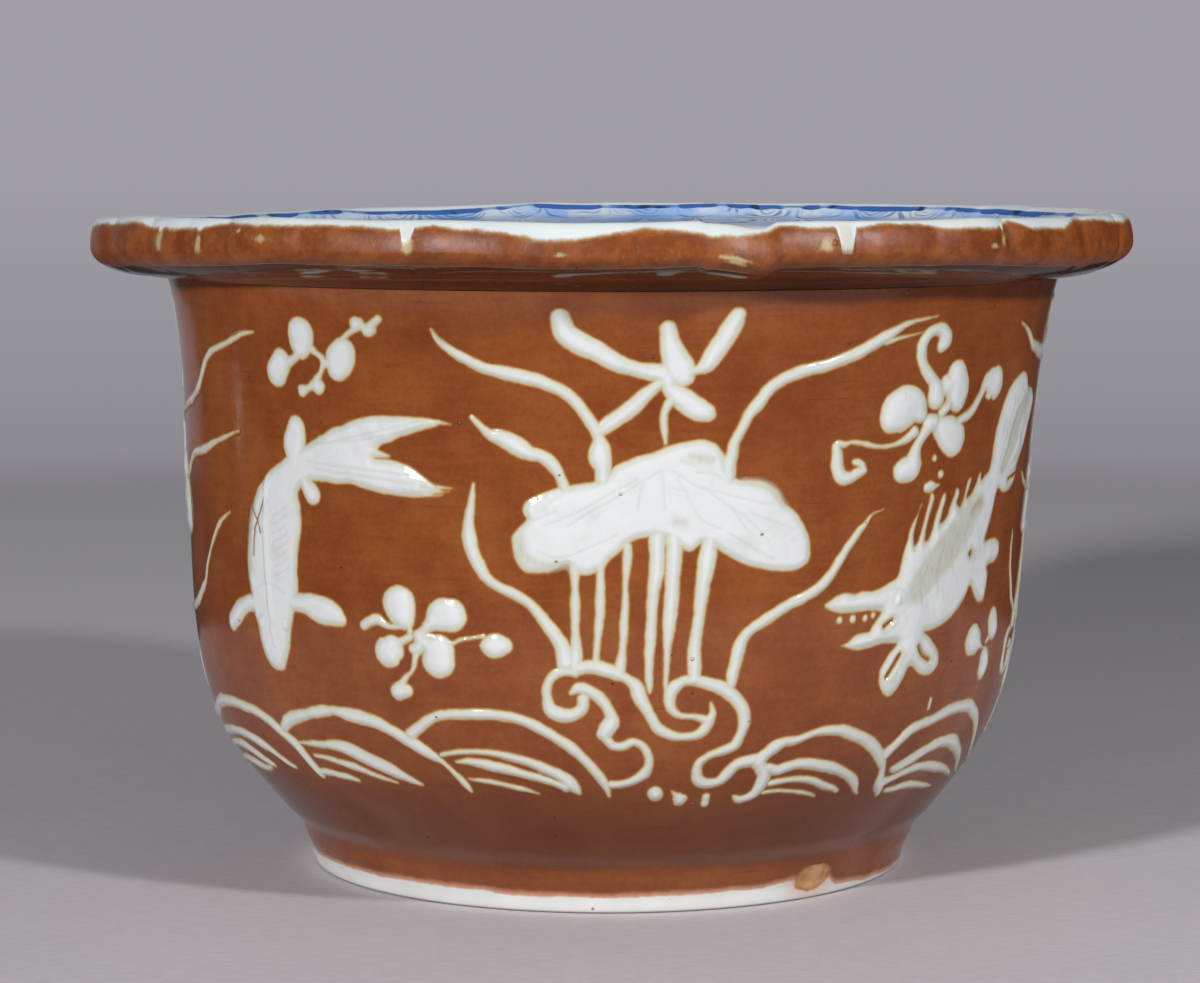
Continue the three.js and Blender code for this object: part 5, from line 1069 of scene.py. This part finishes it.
class Sheet:
    """A grid over the unrolled wall, in flat mm, with what the slip is at each of its points."""

    def __init__(self, lines):
        every = np.concatenate(lines)
        margin = every[:, 2].max() + 2.5
        low, high = every[:, :2].min(0) - margin, every[:, :2].max(0) + margin
        self.xs, self.ys = (np.arange(a, b, CELL) for a, b in zip(low, high))
        self.x, self.y = np.meshgrid(self.xs, self.ys)
        self.depth = np.full(self.x.shape, FAR)
        self.height, self.cut, self.thin = (np.zeros(self.x.shape) for _ in range(3))
        self.edge = 0.04 * waves(self.x, self.y, 3.2, 11) + 0.1 * waves(self.x, self.y, 9, 12)

    def near(self, line, reach):
        """For each piece of a line: the window of the grid near it, how far it is, and its width there."""
        for a, b in zip(line[:-1], line[1:]):
            span = max(a[2], b[2]) + reach
            i0, i1 = np.searchsorted(self.ys, (min(a[1], b[1]) - span, max(a[1], b[1]) + span))
            j0, j1 = np.searchsorted(self.xs, (min(a[0], b[0]) - span, max(a[0], b[0]) + span))
            window = np.s_[i0:i1, j0:j1]
            x, y = self.x[window] - a[0], self.y[window] - a[1]
            ex, ey = b[0] - a[0], b[1] - a[1]
            t = np.clip((x * ex + y * ey) / max(ex * ex + ey * ey, 1e-9), 0, 1)
            yield window, np.hypot(x - t * ex, y - t * ey), a[2] + (b[2] - a[2]) * t

    def join(self, mine):
        """Joins more slip to what is there: the fourth root of the sum of their fourth powers."""
        self.height = (self.height ** 4 + mine ** 4) ** 0.25

    def trail(self, line):
        """Slip along a line, its section h (1 - (d/w)^2)^1.2, with w its half-width, which wanders a little.

        Its height h is 0.6 (1 - e^(-w/0.9)), and 0.09 more for each mm of w beyond 2.
        """
        mine = np.zeros(self.x.shape)
        for window, away, width in self.near(line, 1.6):
            away = away - self.edge[window] * np.minimum(1, width / 0.9)
            self.depth[window] = np.maximum(self.depth[window], width - away)
            share = np.clip(away / np.maximum(width, 0.05), 0, 1)
            crown = 0.6 * (1 - np.exp(-width / 0.9)) + 0.09 * np.maximum(0, width - 2)
            mine[window] = np.maximum(mine[window], crown * (1 - share ** 2) ** 1.2)
        self.join(mine)

    def body(self, line):
        """A body with a round shoulder and a low dome inside it, both uneven.

        At the depth d it is 0.5 (1 - (1 - s)^2)^1.2 + 0.35 (1 - e^(-(d - 1)/3)) high, with s the share of the
        shoulder, 0 to 1. A row of the grid is inside from one crossing of the outline to the next.
        """
        away = np.full(self.x.shape, BODY_REACH)
        for window, d, _ in self.near(line, BODY_REACH):
            away[window] = np.minimum(away[window], d)
        inside = np.zeros(self.x.shape, bool)
        for a, b in zip(line[:-1], line[1:]):
            rows = (self.ys > min(a[1], b[1])) & (self.ys <= max(a[1], b[1]))
            cross = a[0] + (self.ys[rows] - a[1]) * (b[0] - a[0]) / (b[1] - a[1] if b[1] != a[1] else 1e-9)
            inside[rows] ^= self.xs[None, :] > cross[:, None]
        depth = np.where(inside, away, -away) + self.edge
        share = np.clip(depth / SHOULDER, 0, 1)
        mine = 0.5 * (1 - (1 - share) ** 2) ** 1.2 + 0.35 * (1 - np.exp(-np.maximum(depth - 1, 0) / 3))
        mine += (0.09 * waves(self.x, self.y, 8, 21) + 0.025 * waves(self.x, self.y, 3, 22)) * share
        self.depth = np.maximum(self.depth, depth)
        self.join(np.maximum(mine, 0))

    def raise_dab(self, line):
        """A low soft dab laid on what is there, as high as 0.4 of its half-width."""
        mine = np.zeros(self.x.shape)
        for window, away, width in self.near(line, 1.0):
            share = np.clip(away / np.maximum(width, 0.05), 0, 1)
            mine[window] = np.maximum(mine[window], 0.4 * width * (1 - share ** 2) ** 1.5)
        self.height += mine

    def incise(self, line, width, deep, value):
        """Cuts a bell-shaped groove, deep e^(-(d/width)^2), and marks it with that value."""
        mine = np.zeros(self.x.shape)
        for window, away, _ in self.near(line, 2.0):
            mine[window] = np.maximum(mine[window], np.exp(-(away / width) ** 2))
        self.height -= deep * mine * np.clip(self.height, 0, 1)
        self.cut = np.maximum(self.cut, mine * value)

    def scrape(self, line):
        """Marks the slip as thin along a line, with soft sides: 1 / (1 + e^((d - w)/0.5))."""
        for window, away, width in self.near(line, 2.0):
            self.thin[window] = np.maximum(self.thin[window], 1 / (1 + np.exp((away - width) / 0.5)))

    def bare(self, line):
        """Takes the slip away along a line, with a round shoulder 0.9 mm wide."""
        for window, away, width in self.near(line, 2.0):
            self.depth[window] = np.minimum(self.depth[window], away - width)
            self.height[window] *= np.sqrt(1 - (1 - np.clip((away - width) / 0.9, 0, 1)) ** 2)

    def surface(self):
        """Flat places, lifts, values and faces of a closed sheet, the faces of its top apart from the rest.

        The top is cut off where depth + film is 0, at points found along the grid's sides. Below it lies
        the same sheet at the underside's level, and a wall joins the two along the cut.
        """
        over = self.depth + FILM
        rows, columns = over.shape
        on = over > 0
        inner = count = on.sum()
        node = np.full(over.shape, -1)
        node[on] = np.arange(inner)
        xy, ids = [np.stack([self.x[on], self.y[on]], -1)], []
        for up, right in ((0, 1), (1, 0)):
            a, b = over[:rows - up, :columns - right], over[up:, right:]
            crossed = (a > 0) != (b > 0)
            t = np.clip(a[crossed] / (a[crossed] - b[crossed]), 0.05, 0.95)
            i, j = np.nonzero(crossed)
            xy.append(np.stack([self.xs[j] + t * right * CELL, self.ys[i] + t * up * CELL], -1))
            index = np.full(a.shape, -1)
            index[crossed] = count + np.arange(crossed.sum())
            count += crossed.sum()
            ids.append(index)
        level, upright = ids
        corners = (np.s_[:-1, :-1], np.s_[:-1, 1:], np.s_[1:, 1:], np.s_[1:, :-1])
        points = [node[corner] for corner in corners]
        points += [level[:-1], upright[:, 1:], level[1:], upright[:, :-1]]
        code = sum(on[corner] * 2 ** k for k, corner in enumerate(corners))
        top, rim = [], []
        for case, shapes in CUTS.items():
            cells = code == case
            for shape in shapes:
                picked = np.stack([points[k][cells] for k in shape], -1)
                top += [picked] if len(shape) <= 4 else [picked[:, :4], picked[:, [0, *range(3, len(shape))]]]
                rim += [np.stack([points[k][cells], points[l][cells]], -1)
                        for k, l in zip(shape, (*shape[1:], shape[0])) if k > 3 and l > 3]
        rim = np.concatenate(rim)
        walls = np.stack([rim[:, 1], rim[:, 0], rim[:, 0] + count, rim[:, 1] + count], -1)
        faces = [face for part in top for face in part.tolist()]
        under = [face for part in top for face in (part[:, ::-1] + count).tolist()]
        lift = np.zeros(count)
        film = 0.03 * np.clip(1 + self.depth[on] / FILM, 0, 1)
        lift[:inner] = film + self.height[on] * (1 - 0.3 * self.thin[on])
        values = {"deep": np.full(count, -FILM), "cut": np.zeros(count), "thin": np.zeros(count)}
        for key, grid in (("deep", self.depth), ("cut", self.cut), ("thin", self.thin)):
            values[key][:inner] = grid[on]
        return np.concatenate(xy), lift, values, faces, under + walls.tolist()


def slip_piece(name, motif, turn, material):
    """A motif of slip as one relief that follows the wall, turned round the pot's axis by turn."""
    drawn = {key: [smooth_line(line, key == "bodies") for line in lines] for key, lines in motif.items()}
    sheet = Sheet([*drawn.get("bodies", []), *drawn.get("lines", [])])
    passes = (("bodies", sheet.body, ()), ("lines", sheet.trail, ()), ("bumps", sheet.raise_dab, ()),
              ("cuts", sheet.incise, (0.4, 0.14, INCISED)),
              ("scratches", sheet.incise, (0.55, 0.3, SCRATCHED)),
              ("pits", sheet.incise, (0.35, 0.3, PINHOLE)),
              ("scrapes", sheet.scrape, ()), ("holes", sheet.bare, ()))
    for key, lay, how in passes:
        for line in drawn.get(key, []):
            lay(line, *how)
    sheet.height = np.where(sheet.depth > 0, np.maximum(sheet.height, 0), 0)
    xy, lift, values, top, rest = sheet.surface()
    percent = xy[:, 1] / PERCENT
    degrees = kept_in_view(xy[:, 0] / DEGREE + turn, percent)
    places = np.concatenate([place(degrees, percent, level) for level in (lift, -UNDER)])
    values = {key: np.concatenate([value, value]) for key, value in values.items()}
    piece = make_object(name, by_hand(places), top + rest, material, values, smooth=len(top))
    finished(piece, name.removeprefix("slip_"))


slip_material = fired("trailed_white_slip_under_glaze", slip_glaze)
for face, side, turn in (("front", "right", 0), ("back", "left", 180)):
    for key, motif in MOTIFS.items():
        slip_piece(f"slip_{face}_{key}", motif, turn, slip_material)
    slip_piece(f"slip_{side}_lotus", SIDE_LOTUS, turn, slip_material)


# Floor, light and camera

FLOOR_LEVEL = -0.05  # the paper's height in mm


def floor_paper():
    """Pale grey studio paper, matt, with the faintest mottling; it fades into the backdrop far from the pot.

    Glossy things mirror it as lit only near the pot, and dark beyond, as the glaze in the photo shows.
    """
    material, add, shader = new_material("pale_studio_paper")
    places = add("coordinates", out="Object")
    skin = add("lay", add("noise", places, PER_METRE / 90, 3.0, 0.55), "#c3bfc4", "#ccc8cd")
    fibres = add("noise", add("stretch", places, None, None, (0.25, 1, 1)), PER_METRE / 1.6, 4.0, 0.7)
    skin = add("lay", add("step", fibres, 0.35, 0.65, 0.0, 0.25), skin, "#a29ea4")
    skin = add("lay", specks(add, places, 26.0, 1.4, 0.12), skin, "#77747c")
    way = add("length", places, out="Value")
    # Painted light: the paper is painted lighter from 0.2 m out to 1 m from the pot, where the lamps' light
    # falls off.
    skin = add("lay", add("range", way, 0.2, 1.0), skin, "#d6d3d8")
    spot = add("apart", places).node.outputs
    ahead = add("times plus", add("size", spot["X"]), -3.0, spot["Y"])
    # Painted reflection: to glossy rays the paper is dark beyond 0.42 m from the pot, in front of it and to
    # its sides.
    painted_dark_reflection = add("times", add("step", way, 0.42, 0.46, 0.0, 1.0), add("step", ahead, -0.02, -0.14, 0.0, 1.0))
    painted_dark_reflection = add("times", painted_dark_reflection, add("ray", out="Is Glossy Ray"))
    put(shader.inputs["Base Color"], add("lay", painted_dark_reflection, skin, "#47444a"))
    put(shader.inputs["Roughness"], 0.9)
    faded = add("either", add("step", way, 1.0, 1.4, 0.0, 1.0), shader.outputs["BSDF"], add("clear"))
    put(material.node_tree.nodes["Material Output"].inputs["Surface"], faded)
    return material


def floor_disc_mesh(radius, count):
    """A flat disc: the middle, then one ring."""
    a = np.arange(count) * (2 * np.pi / count)
    ring = np.stack([radius * np.cos(a), radius * np.sin(a), 0 * a + FLOOR_LEVEL], -1)
    i = np.arange(count)
    faces = np.stack([0 * i, i + 1, (i + 1) % count + 1], -1)
    return np.concatenate([[(0, 0, FLOOR_LEVEL)], ring]), faces.tolist()


paper = make_object("paper_floor", *floor_disc_mesh(1600, 128), floor_paper())

# The room: paper behind the pot, which glossy things mirror as dark elsewhere; an even grey lights the rest
world = bpy.data.worlds.new("studio")
bpy.context.scene.world = world
world.use_nodes = True
add = adder(world.node_tree)
rays = add("ray").node.outputs
seen = add("plus", rays["Is Camera Ray"], rays["Is Glossy Ray"], use_clamp=True)
seen = add("plus", seen, rays["Is Transmission Ray"], use_clamp=True)
towards = add("apart", add("coordinates", out="Generated")).node.outputs
paper_behind = add("lay", add("range", towards["Z"], -0.132, -0.012), "#7f7d83", "#a09da5")
behind = add("times plus", towards["X"], -0.2, towards["Y"])
room = add("lay", add("step", behind, 0.88, 0.94, 0.0, 1.0), "#2d2b2e", paper_behind)
room = add("lay", rays["Is Camera Ray"], room, paper_behind)
put(world.node_tree.nodes["Background"].inputs["Color"], add("lay", seen, "#585858", room))


AIM_HEIGHT = 90 * MM  # the softboxes face the pot's axis at this height


def softbox(name, azimuth, elevation, distance, size, watts, tint="#ffffff", even=False, tall=1):
    """A soft light that faces the pot, by its direction from the pot's foot in degrees, and metres away.

    It is round, or that many times as tall. An even one keeps its strength with distance, as a far one does.
    """
    data = bpy.data.lights.new(name, "AREA")
    data.shape = "ELLIPSE"
    data.size, data.size_y = size, size * tall
    data.energy = watts
    data.color = colour(tint)[:3]
    if even:
        data.use_nodes = True
        strength = adder(data.node_tree)("falloff", 1.0, out="Constant")
        put(data.node_tree.nodes["Emission"].inputs["Strength"], strength)
    lamp = bpy.data.objects.new(name, data)
    a, e = math.radians(azimuth), math.radians(elevation)
    lamp.location = Vector((math.sin(a) * math.cos(e), -math.cos(a) * math.cos(e), math.sin(e))) * distance
    lamp.rotation_euler = (lamp.location - Vector((0, 0, AIM_HEIGHT))).to_track_quat("Z", "Y").to_euler()
    bpy.context.collection.objects.link(lamp)


softbox("left_softbox", -33.5, 22, 1.15, 0.12, 7.5, even=True)
softbox("right_softbox", 45.5, 29.5, 1.5, 0.14, 11.6)
softbox("cool_fill", -112, 34, 1.3, 0.8, 0.6, "#c9d2ff")
softbox("tall_strip", -109, 9, 0.8, 0.04, 0.035, tall=4.5)

# The photo's camera: its place in mm, how far it looks down, and its focal length in pixels of the photo
CAMERA_PLACE = (-3.0, -1021.8, 202.2)
LOOKS_DOWN = 5.52
FOCAL_PIXELS, PHOTO_WIDTH = 3630.16, 1200
camera_data = bpy.data.cameras.new("photo_camera")
camera_data.sensor_width = 36
camera_data.lens = camera_data.sensor_width * FOCAL_PIXELS / PHOTO_WIDTH
camera = bpy.data.objects.new("photo_camera", camera_data)
camera.location = [mm * MM for mm in CAMERA_PLACE]
camera.rotation_euler = (math.radians(90 - LOOKS_DOWN), 0, 0)
bpy.context.collection.objects.link(camera)
bpy.context.scene.camera = camera
bpy.context.scene.view_settings.view_transform = "Standard"
